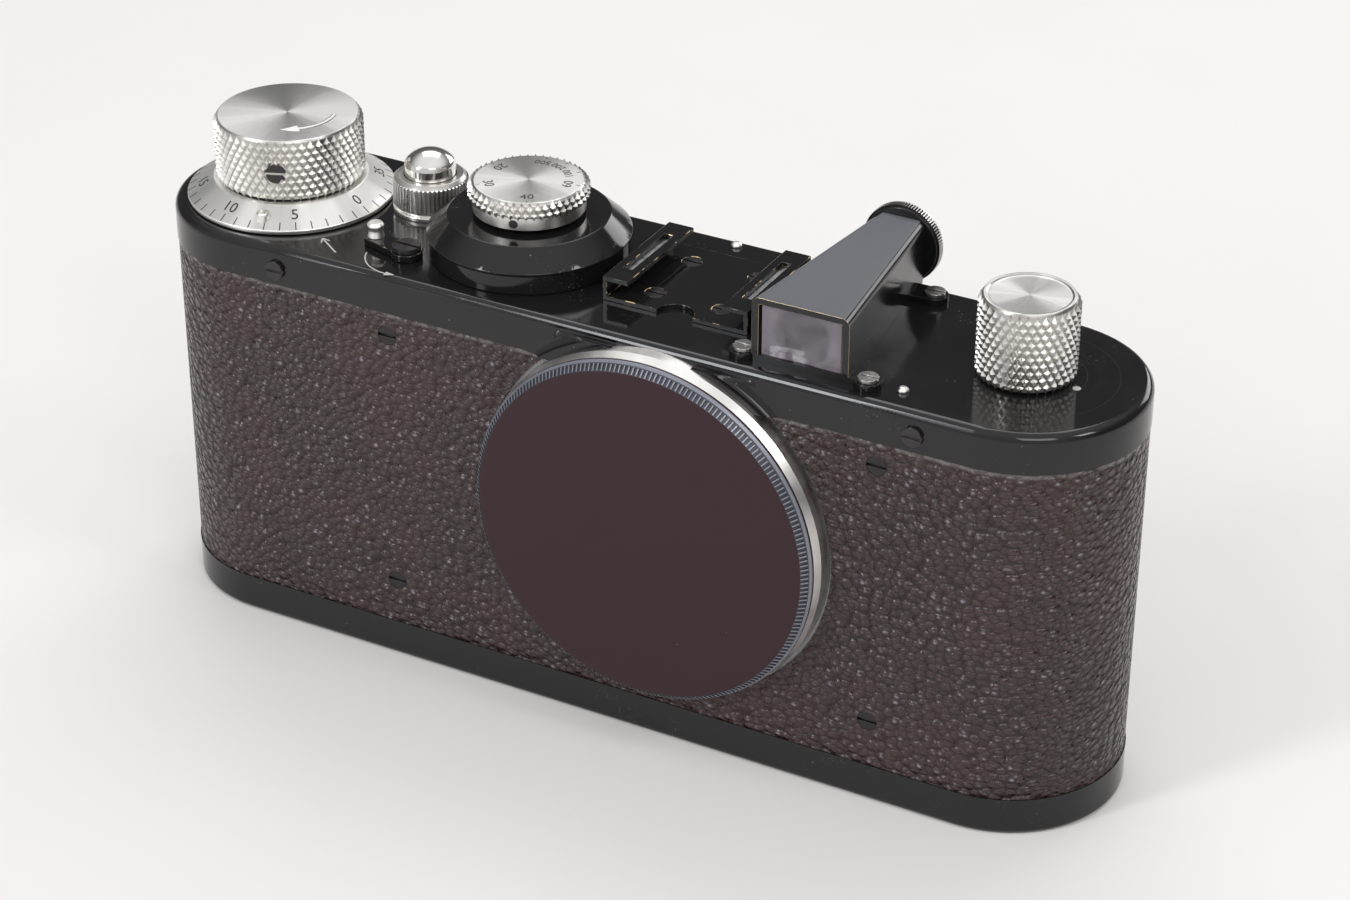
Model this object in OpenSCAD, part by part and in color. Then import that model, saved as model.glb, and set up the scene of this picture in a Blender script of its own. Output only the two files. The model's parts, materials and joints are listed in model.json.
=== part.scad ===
// 35 mm viewfinder camera body with a body cap, 1930s type.
// Millimetres. The origin is the middle of the base's underside, the front faces -Y.

/* [Body] */
// Overall length of the body
body_l = 133; // [131:0.5:138]
// Overall depth of the body, front to back
body_d = 30.2; // [29.6:0.1:32]
// Height of the top plate above the base
body_h = 55.6; // [55:0.1:58]
// Height of the top cover's side band
band_h = 5.1; // [4:0.1:6]
// Height of the base plate's rim
base_h = 5.1; // [4:0.1:7]
// Thickness of the top cover's plate
cover_t = 1.2; // [0.8:0.1:1.6]
// Wall of the top cover's band and of the base plate's rim
rim_t = 0.8; // [0.6:0.05:1]
// Thickness of the body shell
shell_t = 1; // [0.8:0.1:1.2]
// Thickness of the covering
covering_t = 0.75; // [0.5:0.05:0.9]
// Rounding of the top cover's upper edge
cover_edge_r = 1.2; // [0.6:0.1:1.8]
// Thickness of the base plate's floor
base_t = 1.4; // [1:0.1:2]
// Rounding of the base plate's lower edge
base_edge_r = 0.8; // [0.4:0.1:1.2]
// Gap between the shell and the rims that slip over it
rim_fit = 0.08; // [0.05:0.01:0.1]

/* [Lens mount] */
// Lens axis, to the right of the middle
lens_x = 10.1; // [6:0.1:12]
// Lens axis below the top plate
lens_drop = 24.1; // [23.8:0.1:24.6]
// Distance from the flange's front face to the film
register = 28.8; // [28.4:0.1:29]
// Radius of the flange ring
flange_r = 23.5; // [22:0.1:23.6]
// Width of the flange's bevel, across
flange_bevel_w = 0.6; // [0.2:0.05:0.7]
// Height of the flange's bevel, from front to back
flange_bevel_h = 1.2; // [0.4:0.1:1.4]
// How far the flange stands in front of the body
flange_proud = 2.7; // [2:0.1:3]
// Bore of the flange, the lens thread's mean radius
mount_bore_r = 19.25; // [18:0.05:20]
// Gap round the flange in the covering
flange_gap = 0.5; // [0.2:0.1:1]
// Radius of the throat behind the flange
throat_r = 20.6; // [20:0.1:21]
// Width of the top cover's raised seat beside the flange
seat_w = 1; // [0.5:0.1:2]
// Height of the raised seat
seat_h = 0.9; // [0.4:0.1:1.4]
// Width of the hollow sweep from the seat to the band
seat_sweep = 2.2; // [1:0.1:3]
// Radius of the circle of flange screws
flange_screw_circle = 21.4; // [21:0.1:21.6]

/* [Body cap] */
// Height of the cap's plain rim
cap_rim_h = 0.8; // [0.4:0.1:1.5]
// How far the cap's rim stands in from the flange's edge
cap_inset = 0.35; // [0.1:0.05:0.5]
// Height of the cap's ribbed bevel
cap_bevel_h = 1; // [0.6:0.1:1.5]
// Radius of the cap's flat face
cap_face_r = 22.2; // [20:0.1:22.8]
// Number of ribs on the bevel
cap_ribs = 112; // [60:4:160]
// Depth of the ribs
cap_rib_depth = 0.3; // [0.1:0.05:0.4]
// Length of the cap's spigot
cap_spigot_h = 3; // [2:0.1:3.5]
// Wall of the cap's spigot
cap_spigot_t = 1.5; // [1:0.1:3]

/* [Wind knob] */
// Radius over the wind knob's knurl
wind_r = 9.6; // [9:0.1:10]
// Height of the wind knob
wind_h = 8.1; // [7:0.1:10]
// Radius of the wind shaft
wind_shaft_r = 2.4; // [2:0.1:2.8]
// Outer radius of the bush that the counter dial turns on
wind_bush_r = 5.5; // [4.5:0.1:6]
// Lower radius of the counter dial
counter_r = 13.4; // [12:0.1:13.6]
// Upper radius of the counter dial
counter_top_r = 10; // [9:0.1:11]
// Height of the counter dial
counter_h = 2.6; // [2:0.1:3]
// Upright edge below the counter dial's cone
counter_edge = 0.5; // [0.3:0.1:0.8]
// Depth of the knurl
knurl_depth = 0.4; // [0.2:0.05:0.5]
// Distance between the points of the knurl
knurl_pitch = 1.7; // [1.5:0.1:2]
// Chamfer at the top of a knob
knob_chamfer = 0.8; // [0.4:0.1:1]

/* [Gears and film transport] */
// Module of the gears
gear_module = 0.7; // [0.68:0.01:0.72]
// Teeth of the wind gear
wind_teeth = 34; // [33:1:34]
// Teeth of the sprocket gear
sprocket_teeth = 20; // [19:1:21]
// Teeth of the shutter drum's gear
drum_teeth = 31; // [29:1:32]
// Thickness of the gears
gear_t = 1.5; // [1:0.1:1.8]
// Play taken off each gear's teeth
gear_play = 0.08; // [0.04:0.01:0.15]
// Radius of the sprocket under the film
sprocket_r = 6.05; // [5.9:0.05:6.1]
// Distance between the two rows of sprocket teeth
sprocket_rows = 28.2; // [28:0.1:28.4]
// Radius of the sprocket's and the drum's shafts
pivot_r = 1.6; // [1.2:0.1:1.8]
// Width of the film
film_w = 35; // [34.8:0.1:35.2]
// Width of the picture
frame_w = 36; // [35:0.5:37]
// Height of the picture
frame_h = 24; // [23.5:0.5:24.5]
// Core radius of the take-up spool
spool_r = 5.5; // [4.5:0.1:7]
// Radius of the take-up spool's flange
spool_flange_r = 11.2; // [9:0.1:11.4]

/* [Shutter] */
// Radius of the shutter drum
drum_r = 7.5; // [7:0.1:7.8]
// Radius of the curtain rollers
roller_r = 2; // [1.5:0.1:2.1]
// Thickness of a curtain
curtain_t = 0.25; // [0.15:0.05:0.35]
// Thickness of the crate's walls
crate_t = 1.3; // [1:0.1:1.5]
// Thickness of the frame plates
frame_t = 1.5; // [1.2:0.1:1.6]
// Thickness of the film gate with its rails
gate_t = 1.6; // [1.4:0.1:1.8]
// Thickness of the pressure plate
pressure_t = 1; // [0.8:0.1:1.1]

/* [Release] */
// Release and sprocket axis, behind the middle line
release_y = 4.5; // [4:0.1:5]
// Radius of the release button
button_r = 3.3; // [3:0.05:3.5]
// Height of the button's rim above the top plate
button_rim_h = 6.5; // [6:0.1:7]
// Height of the button's dome
button_dome_h = 1.6; // [1:0.1:2]
// Radius over the collar's serrations
collar_r = 4.8; // [4.5:0.05:5.2]
// Height of the collar
collar_h = 4.8; // [4.4:0.1:5]
// Number of serrations round the collar
collar_teeth = 40; // [24:2:60]
// Travel of the release button
release_travel = 3; // [2:0.1:3]

/* [Speed dial] */
// Radius over the dial's knurl
dial_r = 7.65; // [7.2:0.05:8.5]
// Radius of the dial's plain skirt
dial_skirt_r = 7.1; // [6.5:0.05:7.2]
// Height of the dial
dial_h = 3.7; // [3.2:0.1:5]
// Height of the dial's knurled rim
dial_rim_h = 2; // [1.5:0.1:2.4]
// Gap between the turret and the dial
dial_gap = 0.6; // [0.3:0.1:1]
// Radius of the turret's rim
turret_rim_r = 12.95; // [12:0.05:13.2]
// How far the turret's rim stands out from its wall
turret_lip_w = 0.35; // [0.1:0.05:0.6]
// Radius of the turret's flat top
turret_top_r = 10.2; // [9:0.1:11]
// Height of the turret's rim above the top plate
turret_rim_h = 2.9; // [2.4:0.1:3.5]
// Height of the turret
turret_h = 5.4; // [4.8:0.1:6.5]
// Radius of the speed spindle
spindle_r = 2; // [1.5:0.1:2.4]

/* [Rewind lever] */
// Pivot of the rewind lever, left of the speed dial's axis
lever_dx = 12.43; // [12.2:0.01:13]
// Pivot of the rewind lever, front of the middle line
lever_y = -9.1; // [-10:0.1:-8.6]
// Distance from the lever's pivot to its post
lever_l = 5.5; // [4.5:0.1:6]
// Direction of the lever at rest
lever_angle = 166; // [150:1:180]
// Thickness of the lever
lever_t = 0.9; // [0.6:0.1:1.2]

/* [Accessory shoe] */
// Gap between the turret and the shoe, as a share of the free room on the top plate
shoe_share = 0.0887; // [0.06:0.0001:0.1]
// Middle of the shoe, behind the middle line
shoe_y = 1; // [0:0.1:2]
// Width of the shoe's slot
shoe_slot_w = 18.6; // [18.4:0.1:18.8]
// Height of the shoe's slot
shoe_slot_h = 2; // [1.8:0.1:2.2]
// Gap between the shoe's rails
shoe_gap = 12.8; // [12.4:0.1:13.2]
// Length of the shoe
shoe_l = 17; // [15:0.5:20]
// Sheet thickness of the shoe
shoe_t = 0.6; // [0.5:0.05:0.8]
// Radius of the notch in the shoe's front edge
shoe_notch_r = 2.4; // [1.5:0.1:3]

/* [Viewfinder] */
// Gap between the shoe and the viewfinder, as a share of the free room on the top plate
finder_share = 0.2404; // [0.2:0.0001:0.3]
// Front face of the viewfinder
finder_front_y = -12.3; // [-13:0.1:-11]
// Width of the viewfinder's front
finder_front_w = 12.7; // [12:0.1:13]
// Width of the viewfinder's back
finder_back_w = 6.4; // [6:0.1:8]
// Height of the viewfinder
finder_h = 8.3; // [7.5:0.1:9]
// Wall of the viewfinder
finder_t = 0.8; // [0.6:0.05:1]
// Radius of the viewfinder's long top edges
finder_round = 1; // [0.5:0.1:1.1]
// Radius of the eyepiece ring
eyepiece_r = 5.5; // [5:0.05:5.8]
// Thickness of the eyepiece ring
eyepiece_t = 1.8; // [1.2:0.1:2.5]
// Height of the eyepiece above the top plate
eyepiece_h = 4.5; // [4.2:0.1:4.8]

/* [Rewind knob] */
// Radius over the rewind knob's knurl
rewind_r = 6.05; // [5.5:0.05:7]
// Height of the rewind knob
rewind_h = 10.2; // [9:0.1:12]
// Radius of the rewind spindle
rewind_spindle_r = 2; // [1.6:0.1:2.3]

/* [Base] */
// Bore of the tripod socket, the thread's minor radius
tripod_bore_r = 3.97; // [3:0.01:4.2]
// Outer radius of the tripod bush
tripod_bush_r = 6.5; // [6:0.1:7.5]
// Radius of the base lock's disc
lock_r = 9; // [8.5:0.1:9.6]
// Radius of the lock's folding handle
handle_r = 7; // [6:0.1:7.2]
// Thickness of the folding handle
handle_t = 1.2; // [0.9:0.1:1.3]

/* [Fits and screws] */
// Running clearance of shafts and pins
run_fit = 0.05; // [0.03:0.01:0.08]
// Clearance between pieces that are fixed to each other
seat_fit = 0.02; // [0.01:0.01:0.04]
// Clearance between a moving piece and its neighbour
air = 0.3; // [0.2:0.05:0.4]
// Head radius of the small screws
screw_r = 1.3; // [1:0.05:1.5]
// Shank radius of the small screws
shank_r = 0.7; // [0.5:0.05:0.8]

/* [Hidden] */
$fn = 96;

// How far a cut runs past the face that it opens
cut = 1;

// Plan of the body: straight sides between two half rounds
end_r = body_d / 2;
end_x = end_r - body_l / 2;
straight_l = body_l - body_d;
shell_off = rim_t + rim_fit;
chamber_r = end_r - shell_off - shell_t;

// Levels, from the base up
lens_z = body_h - lens_drop;
shell_z = base_t + air;
shelf_top = lens_z - film_w / 2 - air;
frame_z = lens_z + film_w / 2 + air;
gear_z = frame_z + frame_t + air;
gear_top = gear_z + gear_t;
plate_z = body_h - cover_t;
band_z = body_h - band_h;

// Depths, from the front back
flange_front = end_r + flange_proud;
flange_back = end_r - shell_off;
film_y = register - flange_front;
gate_y = film_y - gate_t;

// Axes of the gear train, set by the gears' pitch circles
wind_x = end_x;
release_x = wind_x + sqrt(pow(gear_module * (wind_teeth + sprocket_teeth) / 2, 2) - pow(release_y, 2));
drum_x = release_x + sqrt(pow(gear_module * (sprocket_teeth + drum_teeth) / 2, 2) - pow(release_y, 2));
rewind_x = -end_x;
lever_x = drum_x - lever_dx;
to_wind = atan2(-release_y, wind_x - release_x);
to_drum = atan2(-release_y, drum_x - release_x);

// Step between a knurl and the turned bevel above it
knurl_step = 0.06;

// Stack on the wind axis
counter_gap = 0.15;
knob_gap = 0.2;
knob_roof = 2.2;
shaft_in_spool = 6;
counter_z = body_h + counter_gap;
wind_z = counter_z + counter_h + knob_gap;
wind_shaft_end = frame_z - shaft_in_spool;
wind_screw_at = 23;
counter_stud_at = [286, 106];
counter_stud_r = 0.6;
counter_stud_depth = 1.4;
bush_flange_w = 1.5;
bush_flange_h = 1;

// Stack on the rewind axis
rewind_z = body_h + air;
rewind_bush_r = rewind_spindle_r + 1.4;

// Release: the button is a cup over its spring
collar_floor = 1.2;
spring_floor = body_h + collar_floor;
button_z = spring_floor + release_travel + air;
button_rim_z = body_h + button_rim_h;
button_wall = 0.7;
button_roof = 0.6;
button_ceiling = button_rim_z - button_roof;
stem_r = 1;
stem_end = gear_top + release_travel + 2 * air;

// Speed dial stack
turret_top = body_h + turret_h;
dial_z = turret_top + dial_gap;
dial_top = dial_z + dial_h;
dial_roof = 1.2;
dial_wall = 1.6;
dial_lip = 0.5;
dial_screw_at = 14.5;
dial_screw_r = 0.6;
dial_screw_l = 1.5;
spindle_collar_w = 1.2;

// Curtain rollers stand between the gate and the cassette chamber
roller_gap = 1.2;
roller_tip_r = 0.8;
curtain_step = 0.5;
curtain_gap = 0.1;
curtain_margin = 2.5;
curtain_h = frame_h + 2 * curtain_margin;
// The chamber's wall curves away beside the rollers, so they nest closer than its nearest point
roller_nest = 0.42;
first_roller_at = [rewind_x - chamber_r - crate_t - roller_r + roller_nest, drum_r - roller_r + curtain_step];
second_roller_at = [first_roller_at.x - 2 * roller_r - roller_gap, drum_r - roller_r];

// Crate between the two film chambers
crate_front = chamber_r - seat_fit;
crate_end = rewind_x - chamber_r / 2;
crate_wall_z = (shell_z + shelf_top - frame_t) / 2;
film_way = 4;
pivot_z = shelf_top - frame_t + 0.2;

// Film gate and pressure plate
film_gap = 0.2;
pressure_y = film_y + film_gap;

// Free room on the top plate, beside the turret, the shoe, the viewfinder and the rewind knob
shoe_w = shoe_slot_w + 2 * shoe_t;
finder_mid_w = (finder_front_w + finder_back_w) / 2;
turret_side = drum_x + turret_rim_r;
top_room = rewind_x - rewind_r - turret_side - shoe_w - finder_mid_w;
shoe_x = turret_side + shoe_share * top_room + shoe_w / 2;
finder_x = shoe_x + shoe_w / 2 + finder_share * top_room + finder_mid_w / 2;

// Accessory shoe
shoe_h = shoe_slot_h + 2 * shoe_t;
rail_w = (shoe_w - shoe_gap) / 2;

// Places of the shoe's screws
shoe_screw_dx = shoe_gap * 0.36;
shoe_screw_dy = shoe_l * 0.28;
shoe_screw_at = [for (sx = [-1, 1], sy = [-1, 1]) [shoe_x + sx * shoe_screw_dx, shoe_y + sy * shoe_screw_dy]];

// Viewfinder
eye_hole_r = 2.2;
eye_glass_r = 3.2;
eye_seat = 0.5;
finder_overhang = 0.1;
finder_back_y = end_r + finder_overhang;
finder_l = finder_back_y - finder_front_y;
ear_t = 0.8;
ear_r = 1.7;
right_ear_out = 2.25;
left_ear_out = 1.35;
back_ear_out = 3.2;
front_ear_in = 0.65;
back_ear_in = 3.4;
front_ears = [finder_front_w / 2 + right_ear_out, -finder_front_w / 2 - left_ear_out];
back_ears = [finder_back_w / 2 + back_ear_out, -finder_back_w / 2 - back_ear_out];
front_ear_y = finder_front_y + front_ear_in;
back_ear_y = finder_back_y - back_ear_in;
ears = concat([for (x = front_ears) [finder_x + x, front_ear_y]],
              [for (x = back_ears) [finder_x + x, back_ear_y]]);

// Screws that go into the top plate
plate_screw_at = concat(shoe_screw_at, ears, [[lever_x, lever_y]]);

// Screws in the covering and in the bands, across and up
left_screw_dx = 5.25;
right_screw_dx = 11.9;
low_screw_dz = 6.4;
high_screw_dz = 3.2;
covering_screw_x = [release_x + left_screw_dx, rewind_x - right_screw_dx];
covering_screw_z = [base_h + low_screw_dz, band_z - high_screw_dz];
covering_screw_at = [for (x = covering_screw_x, z = covering_screw_z) [x, z]];
front_stud_dx = 12.75;
front_stud_in = 4.2;
back_stud_dx = 2.25;
back_stud_in = 2;
plate_stud_at = [[finder_x + front_stud_dx, front_stud_in - end_r],
                 [shoe_x - back_stud_dx, end_r - back_stud_in]];
band_screw_dx = 7.4;
band_screw_dz = 2.1;
band_screw_x = rewind_x - band_screw_dx;
band_screw_z = band_z + band_screw_dz;
screw_head_h = 0.5;

// Rewind lever
lever_gap = 0.1;
lever_post_r = 0.6;

// Base lock
lock_h = base_t + 1.5;
lock_flange_r = lock_r + 1.2;
handle_set_in = 0.1;
handle_axis_z = handle_t / 2 + handle_set_in;
handle_room_r = handle_r + 0.3;
handle_room_h = handle_t + 0.25;
pin_r = 0.4;
pin_in = handle_r - 1.2;
pin_out = lock_r - 0.6;
claw_t = 1.2;
tripod_share = 0.5328;
tripod_bush_h = (shelf_top - frame_t) * tripod_share;
tripod_roof = 1;
tripod_flange_r = tripod_bush_r + 2;

// Outline of the body, set in by off
module track(off) {
    square([straight_l, body_d - 2 * off], center = true);
    for (s = [-1, 1]) translate([s * end_x, 0]) circle(r = end_r - off);
}

// Wall along the body's outline
module track_wall(z, h, off_out, off_in) {
    translate([0, 0, z]) linear_extrude(h) difference() {
        track(off_out);
        track(off_in);
    }
}

// Half profile of a plate of height h, its upper edge rounded by r
function edge_profile(h, r) = concat([[0, 0], [end_r, 0]],
    [for (a = [0:15:90]) [end_r - r + r * cos(a), h - r + r * sin(a)]], [[0, h]]);

// Solid over the body's outline with a rounded upper edge
module track_rounded(h, r) {
    half = edge_profile(h, r);
    for (s = [-1, 1]) translate([s * straight_l / 2, 0, 0]) rotate(-90 * s)
        rotate_extrude(angle = 180) polygon(half);
    translate([-straight_l / 2, 0, 0]) rotate([90, 0, 90]) linear_extrude(straight_l) {
        polygon(half);
        mirror([1, 0]) polygon(half);
    }
}

// Local frame on the lens axis, with Z running forward
module on_lens_axis(forward = 0) {
    translate([lens_x, -forward, lens_z]) rotate([90, 0, 0]) children();
}

// Ring about Z
module ring(r_out, r_in, h) {
    difference() {
        cylinder(r = r_out, h = h);
        translate([0, 0, -cut]) cylinder(r = r_in, h = h + 2 * cut);
    }
}

// Slotted screw: the head's top is at 0 and the shank runs down
module screw(head_r, head_h, length) {
    slot_w = head_r * 0.28;
    difference() {
        translate([0, 0, -head_h]) cylinder(r = head_r, h = head_h);
        translate([-head_r - cut, -slot_w / 2, -head_h / 2]) cube([2 * (head_r + cut), slot_w, head_h]);
    }
    translate([0, 0, -length]) cylinder(r = shank_r, h = length - head_h);
}

// Star of n points, for knurls, serrations and ribs
module star(r, n, depth) {
    polygon([for (i = [0:2 * n - 1]) let (q = i % 2 == 0 ? r : r - depth)
        [q * cos(i * 180 / n), q * sin(i * 180 / n)]]);
}

// Diamond knurl: two sets of opposite helical grooves
module knurl(r, h) {
    n = round(2 * PI * r / knurl_pitch);
    rows = h / knurl_pitch;
    steps = 2 * round(rows) + 1;
    // The two hands differ by a step, so that their facets never lie on each other
    intersection_for (hand = [-1, 1]) rotate(hand * 45 / n)
        linear_extrude(h, twist = hand * rows * 360 / n, slices = hand > 0 ? steps : steps + 1, $fn = 0)
            star(r, n, knurl_depth);
}

// Turned knob with a knurled grip and a chamfered, dished top
module knurled_knob(r, h, bore_r, bore_h, lip, dish) {
    bevel_h = knob_chamfer / 2;
    bevel_r = r - knurl_depth - knurl_step;
    top_r = r - knob_chamfer;
    difference() {
        union() {
            knurl(r, h - bevel_h - knurl_step);
            rotate_extrude() polygon([[0, cut], [bevel_r, cut], [bevel_r, h - bevel_h], [top_r, h], [0, h]]);
        }
        translate([0, 0, -cut]) cylinder(r = bore_r, h = bore_h + cut);
        translate([0, 0, h - dish]) cylinder(r = r - knob_chamfer - lip, h = dish + cut);
    }
}

// Polar angle of an involute of base radius rb at radius r
function roll(rb, r) = let (t = sqrt(max(0, r * r / (rb * rb) - 1))) t * 180 / PI - atan(t);
function polar(r, a) = [r * cos(a), r * sin(a)];

// Involute gear with a tooth centred on the direction at
module gear(teeth, at, bore_r) {
    pitch = gear_module * teeth / 2;
    base = pitch * cos(20);
    tip = pitch + gear_module * 0.95;
    root = pitch - gear_module * 1.2;
    half = 90 / teeth - gear_play / pitch * 90 / PI + roll(base, pitch);
    steps = [for (i = [0:3]) base + (tip - base) * i / 3];
    outline = [for (k = [0:teeth - 1]) let (a = at + k * 360 / teeth) each concat(
        [polar(root, a - half)],
        [for (r = steps) polar(r, a - half + roll(base, r))],
        [for (i = [3:-1:0]) polar(steps[i], a + half - roll(base, steps[i]))],
        [polar(root, a + half)])];
    translate([0, 0, gear_z]) linear_extrude(gear_t) difference() {
        polygon(outline);
        circle(r = bore_r);
    }
}

// Direction of a tooth on a gear that meshes with one that has a tooth at driver_at
function meshed_at(driver_teeth, driver_at, teeth, direction) =
    direction + 180 + (direction - driver_at) * driver_teeth / teeth + 180 / teeth;

wind_tooth_at = to_wind + 180;
sprocket_tooth_at = meshed_at(wind_teeth, wind_tooth_at, sprocket_teeth, to_wind + 180);
drum_tooth_at = meshed_at(sprocket_teeth, sprocket_tooth_at, drum_teeth, to_drum);

// Bent strip: ends at y = 0, the middle bowed to y = -bow
module leaf(length, bow, t, width) {
    r = length * length / (8 * bow) + bow / 2;
    translate([0, 0, -width / 2]) linear_extrude(width) intersection() {
        translate([0, r - bow]) difference() {
            circle(r = r, $fn = 360);
            circle(r = r - t, $fn = 360);
        }
        translate([-length / 2, -bow - cut]) square([length, bow + cut + t]);
    }
}

module body_shell() {
    color("dimgray") difference() {
        track_wall(shell_z, plate_z - shell_z, shell_off, shell_off + shell_t);
        on_lens_axis() cylinder(r = throat_r, h = end_r);
        for (p = covering_screw_at) translate([p.x, -end_r, p.y]) rotate([-90, 0, 0])
            cylinder(r = shank_r + seat_fit, h = 2 * shell_off + shell_t);
        for (side = [-1, 1], s = [-1, 1]) translate([s * band_screw_x, side * end_r, band_screw_z])
            rotate([side * 90, 0, 0]) cylinder(r = shank_r + seat_fit, h = 2 * shell_off + shell_t);
    }
}

module body_covering() {
    color("#1c1a1a") difference() {
        track_wall(base_h + seat_fit, band_z - base_h - 2 * seat_fit, shell_off - covering_t, shell_off);
        on_lens_axis() cylinder(r = flange_r + flange_gap, h = end_r + cut);
        for (p = covering_screw_at) translate([p.x, -end_r - cut, p.y]) rotate([-90, 0, 0])
            cylinder(r = screw_r + seat_fit, h = shell_off + cut);
    }
}

module covering_screws() {
    color("#26262a") for (p = covering_screw_at)
        translate([p.x, shell_off - covering_t - end_r, p.y]) rotate([90, 0, 0])
            screw(screw_r, covering_t, covering_t + shell_t + crate_t);
}

module top_cover() {
    seat_in = flange_r + seat_fit;
    seat_out = seat_in + seat_w;
    seat_profile = concat([[seat_in, flange_back]], [[seat_in, end_r + seat_h]],
        [for (a = [0:15:90]) [seat_out + seat_sweep * (1 - cos(a)), end_r + seat_h * (1 - sin(a))]],
        [[seat_out + seat_sweep, flange_back]]);
    color("#111111") difference() {
        union() {
            difference() {
                translate([0, 0, band_z]) track_rounded(band_h, cover_edge_r);
                translate([0, 0, band_z - cut]) linear_extrude(band_h - cover_t + cut) track(rim_t);
            }
            intersection() {
                on_lens_axis() rotate_extrude() polygon(seat_profile);
                translate([lens_x - 2 * flange_r, -2 * end_r, band_z])
                    cube([4 * flange_r, 2 * end_r, band_h - cover_edge_r]);
            }
        }
        on_lens_axis() cylinder(r = seat_in, h = 2 * end_r);
        translate([wind_x, 0, plate_z - cut]) cylinder(r = wind_bush_r + seat_fit, h = cover_t + 2 * cut);
        translate([rewind_x, 0, plate_z - cut])
            cylinder(r = rewind_bush_r + seat_fit, h = cover_t + 2 * cut);
        translate([release_x, release_y, plate_z - cut]) cylinder(r = stem_r + air, h = cover_t + 2 * cut);
        translate([drum_x, 0, plate_z - cut]) cylinder(r = spindle_r + air, h = cover_t + 2 * cut);
        for (side = [-1, 1], s = [-1, 1]) translate([s * band_screw_x, side * (end_r + cut), band_screw_z])
            rotate([side * 90, 0, 0]) cylinder(r = shank_r + seat_fit, h = rim_t + 2 * cut);
        for (p = plate_screw_at) translate([p.x, p.y, plate_z - cut])
            cylinder(r = shank_r + seat_fit, h = cover_t + 2 * cut, $fn = 32);
    }
}

module top_cover_screws() {
    color("#2a2a2e") for (side = [-1, 1], s = [-1, 1])
        translate([s * band_screw_x, side * (end_r + screw_head_h), band_screw_z])
            rotate([-side * 90, 0, 0]) screw(screw_r, screw_head_h, screw_head_h + shell_off + shell_t);
}

module plate_studs() {
    stud_r = 0.7;
    tip_r = 0.4;
    step = 0.3;
    color("silver") for (p = plate_stud_at) translate([p.x, p.y, body_h]) {
        cylinder(r = stud_r, h = step, $fn = 32);
        translate([0, 0, step]) cylinder(r1 = stud_r, r2 = tip_r, h = step, $fn = 32);
    }
}

// Places of the flange screws round the lens axis
module at_flange_screws() {
    for (a = [45:90:315]) rotate(a) translate([flange_screw_circle, 0]) children();
}

module lens_flange() {
    flange_t = flange_front - flange_back;
    color("gainsboro") on_lens_axis(flange_back) difference() {
        rotate_extrude() polygon([[mount_bore_r, 0], [flange_r, 0], [flange_r, flange_t - flange_bevel_h],
            [flange_r - flange_bevel_w, flange_t], [mount_bore_r, flange_t]]);
        at_flange_screws() {
            translate([0, 0, flange_t - screw_head_h])
                cylinder(r = screw_r + seat_fit, h = screw_head_h + cut);
            translate([0, 0, -cut]) cylinder(r = shank_r + seat_fit, h = flange_front);
        }
    }
}

module flange_screws() {
    color("silver") on_lens_axis(flange_front) at_flange_screws()
        screw(screw_r, screw_head_h, flange_front - flange_back - seat_fit);
}

module body_cap() {
    spigot_r = mount_bore_r - run_fit;
    rib_root = cap_rim_h / 4;
    rim_r = flange_r - cap_inset;
    rib_step = 0.1;
    rib_r = rim_r - rib_step;
    color("#18181a") on_lens_axis(flange_front + seat_fit) difference() {
        union() {
            cylinder(r = rim_r, h = cap_rim_h);
            translate([0, 0, cap_rim_h - rib_root])
                linear_extrude(cap_bevel_h + rib_root, scale = cap_face_r / rib_r, $fn = 0)
                    star(rib_r, cap_ribs, cap_rib_depth);
            translate([0, 0, -cap_spigot_h]) cylinder(r = spigot_r, h = cap_spigot_h + cap_rim_h / 2);
        }
        translate([0, 0, -cap_spigot_h - cut]) cylinder(r = spigot_r - cap_spigot_t, h = cap_spigot_h + cut);
    }
}

module wind_knob() {
    lip = 0.5;
    dish = 0.15;
    color("lightgray") translate([wind_x, 0, wind_z])
        knurled_knob(wind_r, wind_h, wind_shaft_r + seat_fit, wind_h - knob_roof, lip, dish);
}

module wind_knob_screw() {
    head_at = wind_r - knurl_depth;
    length = head_at - wind_shaft_r - seat_fit;
    point_l = 0.5;
    up = wind_h * 0.45;
    color("silver") translate([wind_x, 0, wind_z + up]) rotate([90, 0, wind_screw_at])
        translate([0, 0, head_at]) screw(screw_r, length - point_l, length);
}

module wind_shaft() {
    shaft_top = wind_z + wind_h - knob_roof - knob_gap;
    color("darkgray") translate([wind_x, 0, wind_shaft_end])
        cylinder(r = wind_shaft_r, h = shaft_top - wind_shaft_end);
}

// Flanged bush under the top plate, its sleeve rising by h above the flange
module plate_bush(r, h, bore_r) {
    translate([0, 0, plate_z - bush_flange_h]) difference() {
        union() {
            cylinder(r = r + bush_flange_w, h = bush_flange_h);
            cylinder(r = r, h = bush_flange_h + h);
        }
        translate([0, 0, -cut]) cylinder(r = bore_r, h = bush_flange_h + h + 2 * cut);
    }
}

module wind_bush() {
    color("goldenrod") translate([wind_x, 0, 0])
        plate_bush(wind_bush_r, cover_t + counter_h, wind_shaft_r + run_fit);
}

module wind_gear() {
    color("goldenrod") translate([wind_x, 0, 0]) gear(wind_teeth, wind_tooth_at, wind_shaft_r + seat_fit);
}

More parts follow.
